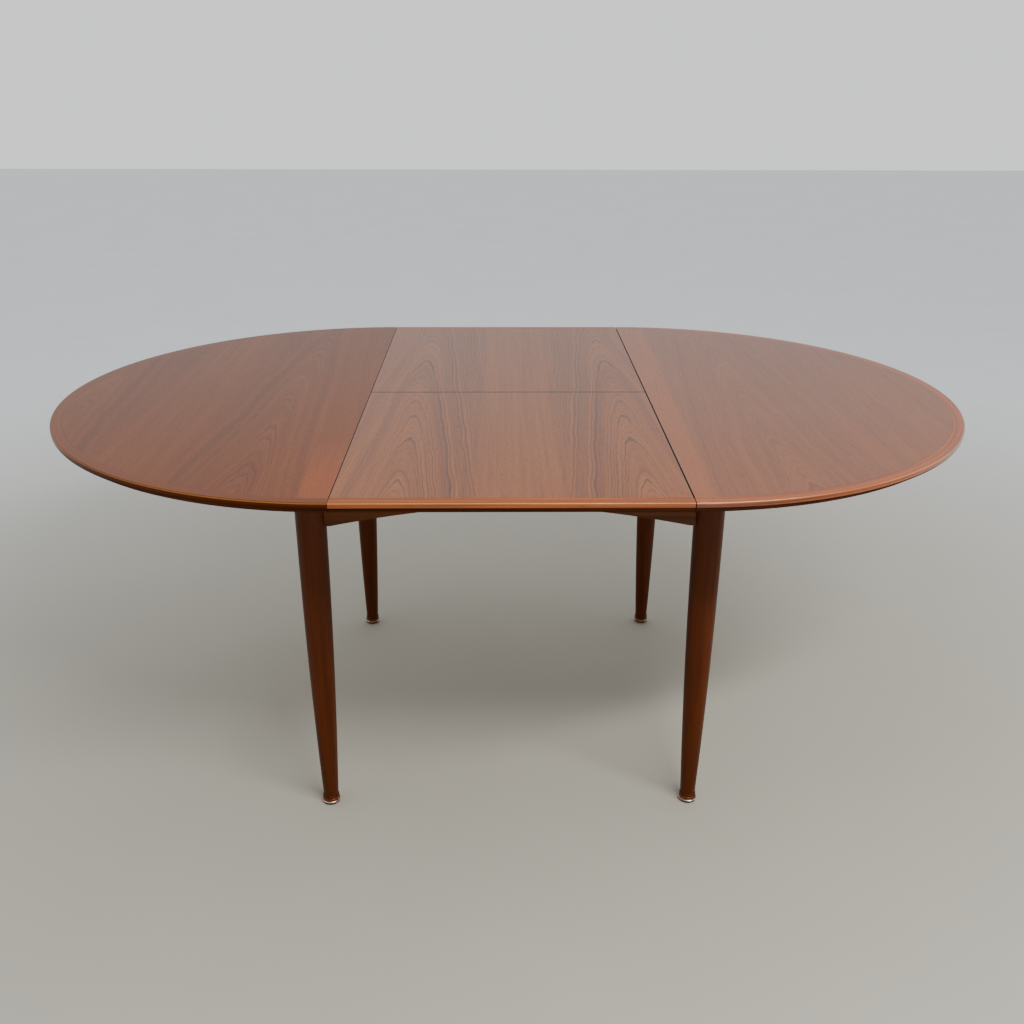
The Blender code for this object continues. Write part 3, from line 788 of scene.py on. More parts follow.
def clear_selection() -> None:
    """Leave edit mode and deselect every object."""
    if bpy.context.object is not None and bpy.context.object.mode != "OBJECT":
        bpy.ops.object.mode_set(mode="OBJECT")
    bpy.ops.object.select_all(action="DESELECT")


def take_up(piece: Piece) -> None:
    """Make one piece the selected and active one."""
    clear_selection()
    piece.select_set(True)
    bpy.context.view_layer.objects.active = piece


@contextmanager
def editing(piece: Piece, action: str = "DESELECT") -> Iterator[None]:
    """Open a piece in edit mode, and close it again.

    Args:
        piece: The piece.
        action: "SELECT" opens it with everything selected, "DESELECT" with nothing.
    """
    take_up(piece)
    bpy.ops.object.mode_set(mode="EDIT")
    bpy.context.tool_settings.mesh_select_mode = (True, True, True)
    bpy.ops.mesh.select_all(action=action)
    try:
        yield
    finally:
        bpy.ops.object.mode_set(mode="OBJECT")


def same(first: float, second: float, within: float = SAME_PLACE) -> bool:
    """Whether two measures are the same but for a small difference."""
    return abs(first - second) < within


def pick_points(piece: Piece, test: Callable[[Vector], bool]) -> None:
    """Select the points of an open piece that pass a test of their place, and nothing else.

    Args:
        piece: The piece in edit mode.
        test: Takes a point's place.
    """
    bpy.context.tool_settings.mesh_select_mode = (True, False, False)
    bpy.ops.mesh.select_all(action="DESELECT")
    shape = bmesh.from_edit_mesh(piece.data)
    for point in shape.verts:
        if test(point.co):
            point.select_set(True)
    shape.select_flush(True)
    bmesh.update_edit_mesh(piece.data)


def pick_edges(piece: Piece, test: Callable[[Vector, Vector], bool]) -> None:
    """Select the edges of an open piece that pass a test of their two ends, and nothing else.

    Args:
        piece: The piece in edit mode.
        test: Takes the places of an edge's ends.
    """
    bpy.context.tool_settings.mesh_select_mode = (False, True, False)
    bpy.ops.mesh.select_all(action="DESELECT")
    shape = bmesh.from_edit_mesh(piece.data)
    for edge in shape.edges:
        if test(edge.verts[0].co, edge.verts[1].co):
            edge.select_set(True)
    bmesh.update_edit_mesh(piece.data)


def placed(name: str, data: bpy.types.ID) -> bpy.types.Object:
    """Put a new object in the scene."""
    item = bpy.data.objects.new(name, data)
    bpy.context.scene.collection.objects.link(item)
    return item


def started(name: str, scale: Sequence[float] = (1.0, 1.0, 1.0)) -> Piece:
    """Take the primitive just added as a piece, with its place and size put into its mesh.

    Args:
        name: The piece's name.
        scale: How it is stretched first.

    Returns:
        The piece.
    """
    piece = bpy.context.active_object
    piece.name = name
    piece.scale = scale
    bpy.ops.object.transform_apply(location=True, rotation=True, scale=True)
    return piece


def modified(piece: Piece, kind: str, **settings: object) -> None:
    """Give a piece a modifier and apply it.

    Args:
        piece: The piece.
        kind: The modifier's type.
        **settings: Its settings.
    """
    take_up(piece)
    modifier = piece.modifiers.new(kind.lower(), kind)
    for setting, value in settings.items():
        setattr(modifier, setting, value)
    bpy.ops.object.modifier_apply(modifier=modifier.name)


def close_up(piece: Piece) -> None:
    """Merge a piece's doubled points and turn its faces outwards."""
    with editing(piece, "SELECT"):
        bpy.ops.mesh.remove_doubles(threshold=SAME_PLACE)
        bpy.ops.mesh.normals_make_consistent(inside=False)


def ease_edges(piece: Piece, width: float, angle: float = 30.0) -> None:
    """Ease a piece's sharp edges.

    Args:
        piece: The piece.
        width: Width of the easing.
        angle: Degrees from which an edge is sharp.
    """
    modified(piece, "BEVEL", width=width, segments=2, limit_method="ANGLE", angle_limit=radians(angle))


def cut_away(piece: Piece, tool: Piece) -> None:
    """Cut a tool's shape out of a piece and throw the tool away.

    Args:
        piece: The piece.
        tool: The tool, a closed shape.
    """
    modified(piece, "BOOLEAN", operation="DIFFERENCE", solver="EXACT", object=tool)
    bpy.data.objects.remove(tool)


def block(name: str, low: Sequence[float], high: Sequence[float]) -> Piece:
    """Start a piece as a block between two corners, to be shaped further.

    Args:
        name: The piece's name.
        low: Its lowest corner.
        high: Its highest corner.

    Returns:
        The block.
    """
    clear_selection()
    middle = [(a + b) / 2 for a, b in zip(low, high)]
    bpy.ops.mesh.primitive_cube_add(size=1.0, location=middle)
    return started(name, [b - a for a, b in zip(low, high)])


def turned(name: str, centre: Sequence[float], profile: Sequence[tuple[float, float]], segments: int,
           hollow: bool = False) -> Piece:
    """Turn a piece: a circle is drawn on along its profile.

    Args:
        name: The piece's name.
        centre: X, Y and Z that the profile stands on.
        profile: (radius, height) from one end to the other.
        segments: Facets round it.
        hollow: Whether the profile closes on itself, as a ring's does, instead of having two flat ends.

    Returns:
        The turned piece.
    """
    clear_selection()
    points = list(profile) + ([profile[0]] if hollow else [])
    cx, cy, cz = centre
    radius, height = points[0]
    bpy.ops.mesh.primitive_circle_add(vertices=segments, radius=radius, location=(cx, cy, cz + height),
                                      fill_type="NOTHING" if hollow else "NGON")
    piece = started(name)
    with editing(piece, "SELECT"):
        for next_radius, next_height in points[1:]:
            rise = (0.0, 0.0, next_height - height)
            bpy.ops.mesh.extrude_region_move(TRANSFORM_OT_translate={"value": rise})
            grow = next_radius / radius
            bpy.ops.transform.resize(value=(grow, grow, 1.0), center_override=(cx, cy, cz + next_height))
            radius, height = next_radius, next_height
    close_up(piece)
    return piece


def rounded(corner: tuple[float, float], start: tuple[float, float], end: tuple[float, float],
            steps: int = 5) -> list[tuple[float, float]]:
    """Points of a soft corner in a turned profile.

    Args:
        corner: The sharp corner.
        start: Where the rounding leaves the line before it.
        end: Where it meets the line after it.
        steps: Its facets.

    Returns:
        The points, both ends included.
    """
    shares = [k / steps for k in range(steps + 1)]
    return [tuple((1 - t) ** 2 * a + 2 * t * (1 - t) * c + t ** 2 * b
                  for a, c, b in zip(start, corner, end)) for t in shares]


def copied(piece: Piece, name: str, move: Matrix) -> Piece:
    """Copy a piece with a mesh of its own.

    Args:
        piece: The piece to copy.
        name: The copy's name.
        move: How its points are moved.

    Returns:
        The copy.
    """
    mesh = piece.data.copy()
    mesh.transform(move)
    return placed(name, mesh)


def merged_copy(node: str, name: str, ease: float) -> Piece:
    """Copy a frame node, merge its loose triangles, and ease its arrises.

    Args:
        node: The node.
        name: The new piece's name.
        ease: Width of the eased arrises.

    Returns:
        The new piece.
    """
    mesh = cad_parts[node].data.copy()
    mesh.materials.clear()
    piece = placed(name, mesh)
    with editing(piece, "SELECT"):
        bpy.ops.mesh.remove_doubles(threshold=SAME_PLACE)
        bpy.ops.mesh.dissolve_limited(angle_limit=radians(FLAT_ANGLE))
    ease_edges(piece, ease)
    return piece


def dress(piece: Piece, finish: Finish, slot: Slot, body: Body, *nodes: str, angle: float = 35.0,
          rim: Optional[Finish] = None, under: Optional[Finish] = None) -> Piece:
    """Give a piece its finish and its place in the model, and report it.

    Args:
        piece: The finished shape.
        finish: Its finish.
        slot: The slot that the finish belongs to; not used.
        body: The body that it rides on.
        *nodes: Frame nodes that it stands for.
        angle: Degrees under which edges are shaded smooth.
        rim: Another finish for the faces that look sideways, or none.
        under: The finish for the faces that look down, where there is one for the rim.

    Returns:
        The same piece.
    """
    take_up(piece)
    bpy.ops.object.shade_smooth_by_angle(angle=radians(angle))
    modified(piece, "WEIGHTED_NORMAL", keep_sharp=True)
    piece.data.materials.clear()
    for coat in (finish, rim, under):
        if coat is not None:
            piece.data.materials.append(coat.material())
    if rim is not None and under is not None:
        # Faces that look down take the under finish, whose dark colour is painted shade.
        for face in piece.data.polygons:
            face.material_index = 2 if face.normal.z < DOWN_FACING else 0 if face.normal.z > TOP_FACING else 1
    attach(piece, body.value)
    if nodes:
        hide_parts(*nodes)
    LOG.info("%s on %s: %d faces, %s", piece.name, body.value, len(piece.data.polygons), finish.name)
    return piece


def carried(node: str, name: str, ease: float, finish: Finish, slot: Slot, body: Body) -> Piece:
    """Carry over a frame node whose shape is right: its arrises are eased and it is dressed.

    Args:
        node: The node.
        name: The new piece's name.
        ease: Width of the eased arrises.
        finish: Its finish.
        slot: The slot that the finish belongs to.
        body: The body that it rides on.

    Returns:
        The new piece.
    """
    return dress(merged_copy(node, name, ease), finish, slot, body, node)


def corners() -> list[str]:
    """The words for the table's four corners."""
    return [f"{depth.word}_{side.word}" for depth in Depth for side in Side]


# ------------------------------------------------------------------------------------ the top

@dataclass(frozen=True)
class LippingSection:
    """Section of the solid lipping round the top.

    Attributes:
        top: Z of the table's surface.
        thickness: Of the top.
        width: In from the rim to the veneer.
        ease: Radius of the upper arris.
        nose: Height of the upright rim below it.
        nose_ease: Softening where the rim turns under.
        undercut: How far the bevel below runs in.
        inner_ease: Softening where that bevel meets the flat underside.
    """

    top: float
    thickness: float = 0.022
    width: float = 0.02085
    ease: float = 0.0028
    nose: float = 0.0079
    nose_ease: float = 0.0030
    undercut: float = 0.016
    inner_ease: float = 0.0007

    def laid(self, name: str, x: float, rim: float) -> Piece:
        """Lay the section as one face across the rim at a given X.

        Args:
            name: The piece's name.
            x: X of the section.
            rim: Y of the rim, negative at the front.

        Returns:
            A piece that is this one face.
        """
        way = 1.0 if rim > 0 else -1.0
        bottom = self.top - self.thickness
        clear_selection()
        bpy.ops.mesh.primitive_plane_add(
            size=1.0, rotation=(0.0, pi / 2, 0.0),
            location=(x, rim - way * self.width / 2, self.top - self.thickness / 2))
        piece = started(name, (self.thickness, self.width, 1.0))
        middle = self.top - self.thickness / 2
        nose_low = self.top - self.ease - self.nose

        def outer(place: Vector) -> bool:
            """Whether a place is on the rim."""
            return same(place.y, rim)

        with editing(piece):
            pick_edges(piece, lambda a, b: outer(a) and outer(b))
            bpy.ops.mesh.subdivide(number_cuts=1)
            pick_points(piece, lambda place: outer(place) and same(place.z, middle, CLEAR_OF))
            bpy.ops.transform.translate(value=(0.0, 0.0, nose_low - middle))
            pick_points(piece, lambda place: outer(place) and place.z < bottom + CLEAR_OF)
            bpy.ops.transform.translate(value=(0.0, -way * self.undercut, 0.0))
            for z, size, steps in ((self.top, self.ease, 6), (nose_low, self.nose_ease, 5)):
                pick_points(piece, lambda place: outer(place) and same(place.z, z))
                bpy.ops.mesh.bevel(offset=size, segments=steps, affect="VERTICES")
            pick_points(piece, lambda place: same(place.z, bottom)
                        and abs(place.y - rim) < self.width - CLEAR_OF)
            bpy.ops.mesh.bevel(offset=self.inner_ease, segments=3, affect="VERTICES")
        return piece


@dataclass
class HalfRoundEnd:
    """One half-round end of the top: its veneered panel and its bent lipping in two lengths.

    Attributes:
        side: Which end.
        finishes: The table's finishes.
        facets: Facets round the half circle.
        joint_gap: Between the lipping's two lengths.
        trim: Off the rim, so that the fine round stays within the frame's.
        seam_ease: Eased arris along the seam.
        joints: Degrees from the left and the right tip to the joint in its lipping, behind it if positive.
    """

    side: Side
    finishes: TableFinishes
    facets: int = 180
    joint_gap: float = 0.0003
    trim: float = 0.0001
    seam_ease: float = 0.0004
    joints: tuple[float, float] = (35.0, -30.0)

    def build(self) -> None:
        """Build and dress the end."""
        self.panel()
        for depth in Depth:
            self.lipping(depth)

    @property
    def seam(self) -> float:
        """X of the seam that the end closes on."""
        low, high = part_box(f"{self.side.word}_end_panel")
        return high.x if self.side is Side.LEFT else low.x

    def panel(self) -> Piece:
        """Turn a round board and saw it through along the seam."""
        word, seam = self.side.word, self.seam
        low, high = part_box(f"{word}_end_panel")
        clear_selection()
        bpy.ops.mesh.primitive_cylinder_add(
            vertices=2 * self.facets, radius=high.y, depth=high.z - low.z, end_fill_type="NGON",
            location=(seam, 0.0, (low.z + high.z) / 2))
        board = started(f"{word}_top_panel")
        with editing(board, "SELECT"):
            bpy.ops.mesh.bisect(plane_co=(seam, 0.0, low.z), plane_no=(self.side.value, 0.0, 0.0),
                                use_fill=True, clear_inner=True)
            pick_edges(board, lambda a, b: same(a.x, seam) and same(b.x, seam) and same(a.z, b.z))
            bpy.ops.mesh.bevel(offset=self.seam_ease, segments=2, affect="EDGES")
        close_up(board)
        veneer, _, _ = self.finishes.of_end(self.side)
        return dress(board, veneer, Slot.VENEER, Body.end(self.side), f"{word}_end_panel")

    def lipping(self, depth: Depth) -> Piece:
        """Spin one length of lipping from the seam to the joint with the other length.

        Args:
            depth: Which of the two lengths.

        Returns:
            The lipping.
        """
        word, sweep = self.side.word, self.sweep(depth)
        node = f"{word}_end_lipping_{depth.word}"
        rim_low, rim_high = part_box(node)
        rim = rim_low.y + self.trim if depth is Depth.FRONT else rim_high.y - self.trim
        section = LippingSection(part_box(f"{word}_end_panel")[1].z)
        piece = section.laid(f"{word}_lipping_{depth.word}", self.seam, rim)
        with editing(piece, "SELECT"):
            bpy.ops.mesh.spin(steps=round(self.facets * abs(sweep) / pi), angle=sweep,
                              center=(self.seam, 0.0, 0.0), axis=(0.0, 0.0, 1.0))
        close_up(piece)
        _, lipping, polished = self.finishes.of_end(self.side)
        return dress(piece, lipping, Slot.LIPPING, Body.end(self.side), node,
                     rim=polished, under=self.finishes.undercut)

    def sweep(self, depth: Depth) -> float:
        """The turn from the seam to the joint, in radians, as the spin operator takes it.

        Args:
            depth: Which of the two lengths.

        Returns:
            The angle, with its sign.
        """
        joint = radians(self.joints[0 if self.side is Side.LEFT else 1])
        gap = self.joint_gap / 2 / BEND_RADIUS
        return (pi / 2 - depth.value * joint - gap) * self.side.value * depth.value


@dataclass
class FoldingLeaf:
    """The middle leaf: two veneered halves with straight lippings on their outer edges.

    Attributes:
        finishes: The table's finishes.
        ease: Eased arrises of the panels.
    """

    finishes: TableFinishes
    ease: float = 0.0004

    def build(self) -> None:
        """Build and dress both halves."""
        for depth in Depth:
            carried(f"leaf_{depth.word}_panel", f"leaf_top_{depth.word}", self.ease, self.finishes.leaf,
                    Slot.VENEER, Body.leaf(depth))
            self.lipping(depth)

    def lipping(self, depth: Depth) -> Piece:
        """Draw the straight lipping's section out along X.

        Args:
            depth: Which half of the leaf.

        Returns:
            The lipping.
        """
        node = f"leaf_{depth.word}_lipping"
        low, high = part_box(node)
        rim = low.y if depth is Depth.FRONT else high.y
        piece = LippingSection(high.z).laid(f"leaf_edge_{depth.word}", low.x, rim)
        with editing(piece, "SELECT"):
            bpy.ops.mesh.extrude_region_move(TRANSFORM_OT_translate={"value": (high.x - low.x, 0.0, 0.0)})
        close_up(piece)
        return dress(piece, self.finishes.leaf_lipping, Slot.LIPPING, Body.leaf(depth), node,
                     rim=self.finishes.leaf_rim, under=self.finishes.undercut)


@dataclass
class LeafHinges:
    """The concealed hinges between the leaf's halves: cups and links.

    Attributes:
        finishes: The table's finishes.
        ease: Eased arrises.
    """

    finishes: TableFinishes
    ease: float = 0.0004

    def build(self) -> None:
        """Build and dress both hinges."""
        for side in Side:
            for depth in Depth:
                carried(f"hinge_cup_{side.word}_{depth.word}", f"hinge_body_{side.word}_{depth.word}",
                        self.ease, self.finishes.steel, Slot.STEEL, Body.leaf(depth))
            carried(f"hinge_link_{side.word}", f"hinge_arm_{side.word}", self.ease, self.finishes.steel,
                    Slot.STEEL, Body.LEAF_LINKS)


# ------------------------------------------------------------------------------------ legs and feet

@dataclass
class TurnedLegs:
    """Four turned legs with their metal foot rings and pads.

    Attributes:
        finishes: The table's finishes.
        facets: Facets round a leg.
        rings: Rings down it.
        foot_radius: Radius just above the foot collar.
        swell: The higher, the longer a leg stays nearly parallel.
        collar_radius: Of the small collar above the ring.
        collar_height: Of that collar.
        ring_height: Of the metal ring.
        ring_radius: Of the metal ring.
        pad_height: Of the pad.
        pad_radius: Of the pad.
        gap: Between collar, ring and pad.
        spigot: Radius of the leg's tenon inside the ring.
        soft: Easing of the leg's and the pad's upper arris.
        cove: Depth of the cove above the collar.
        collar_round: Below the collar's top, where its rounding starts and ends.
        collar_ease: Rounding of the collar's lower arris.
        lip: How far the ring's shoulder stands out past the collar.
        shoulder_ease: Easing of that shoulder.
        flare: Heights of the ring's flare: its start below the shoulder, its bend and its end above the foot.
        ring_round: Rounding of the ring's lower arris.
        pad_round: Height and depth of the pad's lower rounding.
    """

    finishes: TableFinishes
    facets: int = LEG_FACETS
    rings: int = 30
    foot_radius: float = 0.0145
    swell: float = 2.3
    collar_radius: float = 0.0160
    collar_height: float = 0.006
    ring_height: float = 0.009
    ring_radius: float = 0.0180
    pad_height: float = 0.004
    pad_radius: float = 0.0165
    gap: float = 0.0003
    spigot: float = 0.0090
    soft: float = 0.0006
    cove: float = 0.0004
    collar_round: tuple[float, float] = (0.0010, 0.0030)
    collar_ease: float = 0.0012
    lip: float = 0.0002
    shoulder_ease: float = 0.0005
    flare: tuple[float, float, float] = (0.0030, 0.0040, 0.0028)
    ring_round: float = 0.0016
    pad_round: tuple[float, float] = (0.0016, 0.0022)

    def build(self) -> None:
        """Turn one leg, ring and pad, and copy them to the four corners."""
        first = corners()[0]
        x0, y0 = self.axis(first)
        kit = (
            (turned("leg_pattern", (x0, y0, 0.0), self.leg_profile(first), self.facets),
             "turned_leg", "leg", self.finishes.leg, Slot.LEG, 40.0),
            (turned("ring_pattern", (x0, y0, 0.0), self.ring_profile(), self.facets, hollow=True),
             "ferrule", "foot_ring", self.finishes.foot_ring, Slot.RING, 35.0),
            (turned("pad_pattern", (x0, y0, 0.0), self.pad_profile(), self.facets),
             "glide", "foot_pad", self.finishes.foot_pad, Slot.PAD, 35.0),
        )
        for corner in corners():
            x, y = self.axis(corner)
            for pattern, name, node, finish, slot, angle in kit:
                piece = copied(pattern, f"{name}_{corner}", Matrix.Translation((x - x0, y - y0, 0.0)))
                dress(piece, finish, slot, Body.FRAME, f"{node}_{corner}", angle=angle)
        for pattern, *_ in kit:
            bpy.data.objects.remove(pattern)

    @staticmethod
    def axis(corner: str) -> tuple[float, float]:
        """X and Y of a leg's axis."""
        low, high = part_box(f"foot_ring_{corner}")
        return (low.x + high.x) / 2, (low.y + high.y) / 2

    def leg_profile(self, corner: str) -> list[tuple[float, float]]:
        """Set out a leg, from its flat top to its spigot in the ring.

        Args:
            corner: The leg's corner.

        Returns:
            (radius, height) down the leg.
        """
        low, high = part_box(f"leg_{corner}")
        top, radius = high.z, (high.y - low.y) / 2
        foot = self.pad_height + self.gap
        collar_low = foot + self.ring_height + self.gap
        collar_top = collar_low + self.collar_height
        points = [(radius - self.soft, top)]
        for k in range(self.rings + 1):
            share = k / self.rings
            start = self.soft if k == 0 else 0.0
            points.append((radius - (radius - self.foot_radius) * share ** self.swell,
                           top - start + (collar_top - top) * share))
        cove = self.foot_radius - self.cove
        start, end = (collar_top - drop for drop in self.collar_round)
        collar, ease = self.collar_radius, self.collar_ease
        points += [(cove, collar_top - self.cove)]
        points += rounded((collar, start), (cove + self.cove, start), (collar, end))
        points += rounded((collar, collar_low), (collar, collar_low + ease), (collar - ease, collar_low))
        points += [(self.spigot, collar_low), (self.spigot, foot)]
        return points

    def ring_profile(self) -> list[tuple[float, float]]:
        """(radius, height) round a foot ring's wall."""
        low = self.pad_height + self.gap
        high = low + self.ring_height
        bore, shoulder = self.spigot + self.gap, self.collar_radius + self.lip
        start, bend, end = self.flare
        rim, ease = self.ring_radius, self.ring_round
        points = [(bore, high), (shoulder - self.shoulder_ease, high), (shoulder, high - self.shoulder_ease)]
        points += rounded((shoulder + self.lip, low + bend), (shoulder, high - start), (rim, low + end), 8)
        points += rounded((rim, low), (rim, low + ease), (rim - ease, low))
        return points + [(bore, low)]

    def pad_profile(self) -> list[tuple[float, float]]:
        """(radius, height) down a pad."""
        radius, high = self.pad_radius, self.pad_height
        rise, run = self.pad_round
        return ([(radius - self.soft, high), (radius, high - self.soft)]
                + rounded((radius, 0.0), (radius, rise), (radius - run, 0.0)))


# ------------------------------------------------------------------------------------ frame

@dataclass
class Underframe:
    """Aprons, cross rails and corner blocks.

    Attributes:
        finishes: The table's finishes.
        columns: Facets along an apron's arch.
        arch_level: The lower edge runs level for this far beside each leg.
        arch_rise: How much shallower an apron is in the middle.
        arch_power: 2 would be a parabola.
        leg_gap: Between an apron's coped end and the leg.
        housed: Share of the leg's radius, from its axis, where an apron's blank ends.
        overrun: How far the coping tool stands out above and below.
        ease: Eased arrises.
    """

    finishes: TableFinishes
    columns: int = 72
    arch_level: float = 0.0052
    arch_rise: float = 0.039
    arch_power: float = 1.7
    leg_gap: float = 0.0003
    housed: float = 0.6
    overrun: float = 0.05
    ease: float = 0.0010

    def build(self) -> None:
        """Build and dress the frame."""
        for depth in Depth:
            self.apron(depth)
        for side in Side:
            carried(f"{side.word}_rail", f"cross_rail_{side.word}", self.ease, self.finishes.rail,
                    Slot.APRON, Body.FRAME)
            for depth in Depth:
                corner = f"{depth.word}_{side.word}"
                carried(f"corner_block_{corner}", f"glue_block_{corner}", self.ease, self.finishes.beech_x,
                        Slot.FRAME, Body.FRAME)

    def apron(self, depth: Depth) -> Piece:
        """Arch an apron's lower edge and cope its ends to the two legs.

        Args:
            depth: The front apron or the back one.

        Returns:
            The apron.
        """
        node = f"{depth.word}_apron"
        low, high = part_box(node)
        leg_low, leg_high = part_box(f"leg_{depth.word}_right")
        leg_x = (leg_low.x + leg_high.x) / 2
        leg_y = (leg_low.y + leg_high.y) / 2
        leg_radius = (leg_high.y - leg_low.y) / 2
        span = leg_x - leg_radius - self.arch_level
        half = leg_x - leg_radius * self.housed
        piece = block(f"arched_apron_{depth.word}", (-half, low.y, low.z), (half, high.y, high.z))
        with editing(piece):
            pick_edges(piece, lambda a, b: abs(a.x - b.x) > half)
            bpy.ops.mesh.subdivide(number_cuts=self.columns - 1)
            step = 2 * half / self.columns
            for k in range(1, self.columns):
                x = -half + step * k
                share = abs(x) / span
                if share < 1.0:
                    rise = self.arch_rise * (1 - share ** self.arch_power)
                    pick_points(piece, lambda place: same(place.x, x, step / 4)
                                and place.z < low.z + CLEAR_OF)
                    bpy.ops.transform.translate(value=(0.0, 0.0, rise))
        ease_edges(piece, self.ease, angle=40.0)
        cope = leg_radius + self.leg_gap
        for side in Side:
            cut_away(piece, turned("post", (side.value * leg_x, leg_y, 0.0),
                                   [(cope, high.z + self.overrun), (cope, low.z - self.overrun)], LEG_FACETS))
        return dress(piece, self.finishes.apron, Slot.APRON, Body.FRAME, node)


@dataclass
class LegBolts:
    """The bolts and nuts that pull the legs to the corner blocks.

    Attributes:
        finishes: The table's finishes.
        bolt_ease: Eased arrises of the bolts.
        nut_ease: Eased arrises of the nuts.
    """

    finishes: TableFinishes
    bolt_ease: float = 0.0004
    nut_ease: float = 0.0006

    def build(self) -> None:
        """Build and dress the four sets."""
        for corner in corners():
            for node, name, ease in (("leg_bolt", "hanger_bolt", self.bolt_ease),
                                     ("leg_nut", "hex_nut", self.nut_ease)):
                carried(f"{node}_{corner}", f"{name}_{corner}", ease, self.finishes.steel, Slot.STEEL,
                        Body.FRAME)


@dataclass
class WoodScrews:
    """Slotted wood screws driven up from below, with raised countersunk heads.

    Attributes:
        finishes: The table's finishes.
        head: Radius of the head.
        proud: How far the head's crown stands out of the wood.
        sunk: Depth of the head's cone.
        shank: Radius of the shank.
        length: Of the shank that is modelled.
        slot_width: Of the driver's slot.
        slot_depth: Of the same.
        fit: Between the head and its countersink.
        overrun: How far a cutting tool stands out of the wood or the head.
        crown: Shares of the head's radius where its crown has a ring.
        facets: Facets round a screw.
        master: The one screw that the others copy, once it is made.
    """

    finishes: TableFinishes
    head: float = 0.0042
    proud: float = 0.0006
    sunk: float = 0.0022
    shank: float = 0.0018
    length: float = 0.0060
    slot_width: float = 0.0010
    slot_depth: float = 0.0012
    fit: float = 0.0002
    overrun: float = 0.0010
    crown: tuple[float, ...] = (1.0, 0.9, 0.7, 0.35)
    facets: int = 24
    master: Optional[Piece] = None

    def drive(self, wood: Piece, name: str, places: Sequence[Place], body: Body) -> None:
        """Countersink a piece from below and set one screw at each place.

        Args:
            wood: The piece that the screws hold.
            name: What the screws' names start with.
            places: On the piece's underside.
            body: The body that piece moves with.
        """
        for count, (x, y, z) in enumerate(places, 1):
            bore, mouth = self.shank + self.fit, self.head + self.fit
            sink = [(bore, z + self.sunk + self.length), (bore, z + self.sunk),
                    (mouth, z), (mouth, z - 2 * self.overrun)]
            cut_away(wood, turned("countersink", (x, y, 0.0), sink, self.facets))
            screw = copied(self.pattern(), f"{name}_screw_{count}", Matrix.Translation((x, y, z)))
            dress(screw, self.finishes.steel, Slot.STEEL, body)

    def pattern(self) -> Piece:
        """The one screw that the others copy, with its head's edge at the origin's height."""
        if self.master is None:
            crown = [(self.head * share, -self.proud * sqrt(1.0 - share ** 2)) for share in self.crown]
            profile = [(self.shank, self.sunk + self.length), (self.shank, self.sunk)] + crown
            self.master = turned("screw_pattern", (0.0, 0.0, 0.0), profile, self.facets)
            cutter = block("slot_cutter", (-self.head * 2, -self.slot_width / 2, -self.proud - self.overrun),
                           (self.head * 2, self.slot_width / 2, self.slot_depth - self.proud))
            cut_away(self.master, cutter)
        return self.master

    def put_away(self) -> None:
        """Remove the pattern, once every copy is made."""
        if self.master is not None:
            bpy.data.objects.remove(self.master, do_unlink=True)
            self.master = None


@dataclass
class Runners:
    """What the ends slide on: runners, guides, end cleats and leaf bearers.

    Attributes:
        finishes: The table's finishes.
        ease: Eased arrises.
        guide_ease: The same of the guides.
        cleat_screws: Y of a cleat's screws.
        bearer_screws: Y of a bearer's screws.
        bearer_strip: From a bearer's outer edge to its screws.
        heel_height: Of a runner's underside above its lowest point, where its screw is.
    """

    finishes: TableFinishes
    ease: float = 0.0010
    guide_ease: float = 0.0006
    cleat_screws: tuple[float, ...] = (-0.22, -0.08, 0.08, 0.22)
    bearer_screws: tuple[float, ...] = (-0.25, -0.08, 0.08, 0.25)
    bearer_strip: float = 0.020
    heel_height: float = 0.010

    def build(self) -> None:
        """Build and dress both ends' sets."""
        screws = WoodScrews(self.finishes)
        for side in Side:
            word, beech = side.word, self.finishes.beech_y
            low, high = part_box(f"{word}_end_cleat")
            middle = (low.x + high.x) / 2
            self.screwed(side, screws, f"{word}_end_cleat", f"cleat_{word}", beech,
                         [(middle, y, low.z) for y in self.cleat_screws])
            low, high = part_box(f"{word}_leaf_bearer")
            strip = high.x - self.bearer_strip if side is Side.RIGHT else low.x + self.bearer_strip
            self.screwed(side, screws, f"{word}_leaf_bearer", f"bearer_{word}", beech,
                         [(strip, y, low.z) for y in self.bearer_screws])
            for depth in Depth:
                node = f"{word}_runner_{depth.word}"
                low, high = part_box(node)
                self.screwed(side, screws, node, f"slide_bar_{word}_{depth.word}", self.finishes.beech_x,
                             [(middle, (low.y + high.y) / 2, low.z + self.heel_height)])
                carried(f"{word}_guide_{depth.word}", f"slide_guide_{word}_{depth.word}", self.guide_ease,
                        self.finishes.beech_x, Slot.FRAME, Body.FRAME)
        screws.put_away()

    def screwed(self, side: Side, screws: WoodScrews, node: str, name: str, finish: Finish,
                places: Sequence[Place]) -> Piece:
        """Carry over a part of one end, with the screws that hold it.

        Args:
            side: Which end.
            screws: The screws.
            node: The frame node.
            name: The new piece's name.
            finish: Its finish.
            places: Where the screws go, on its underside.

        Returns:
            The new piece.
        """
        piece = merged_copy(node, name, self.ease)
        screws.drive(piece, name, places, Body.end(side))
        return dress(piece, finish, Slot.FRAME, Body.end(side), node)


@dataclass
class LeafStowage:
    """The battens that carry the folded leaf.

    Attributes:
        finishes: The table's finishes.
        ease: Eased arrises.
    """

    finishes: TableFinishes
    ease: float = 0.0015

    def build(self) -> None:
        """Build and dress both battens."""
        for depth in Depth:
            carried(f"stowage_batten_{depth.word}", f"batten_{depth.word}", self.ease,
                    self.finishes.beech_x, Slot.FRAME, Body.FRAME)


# ------------------------------------------------------------------------------------ studio

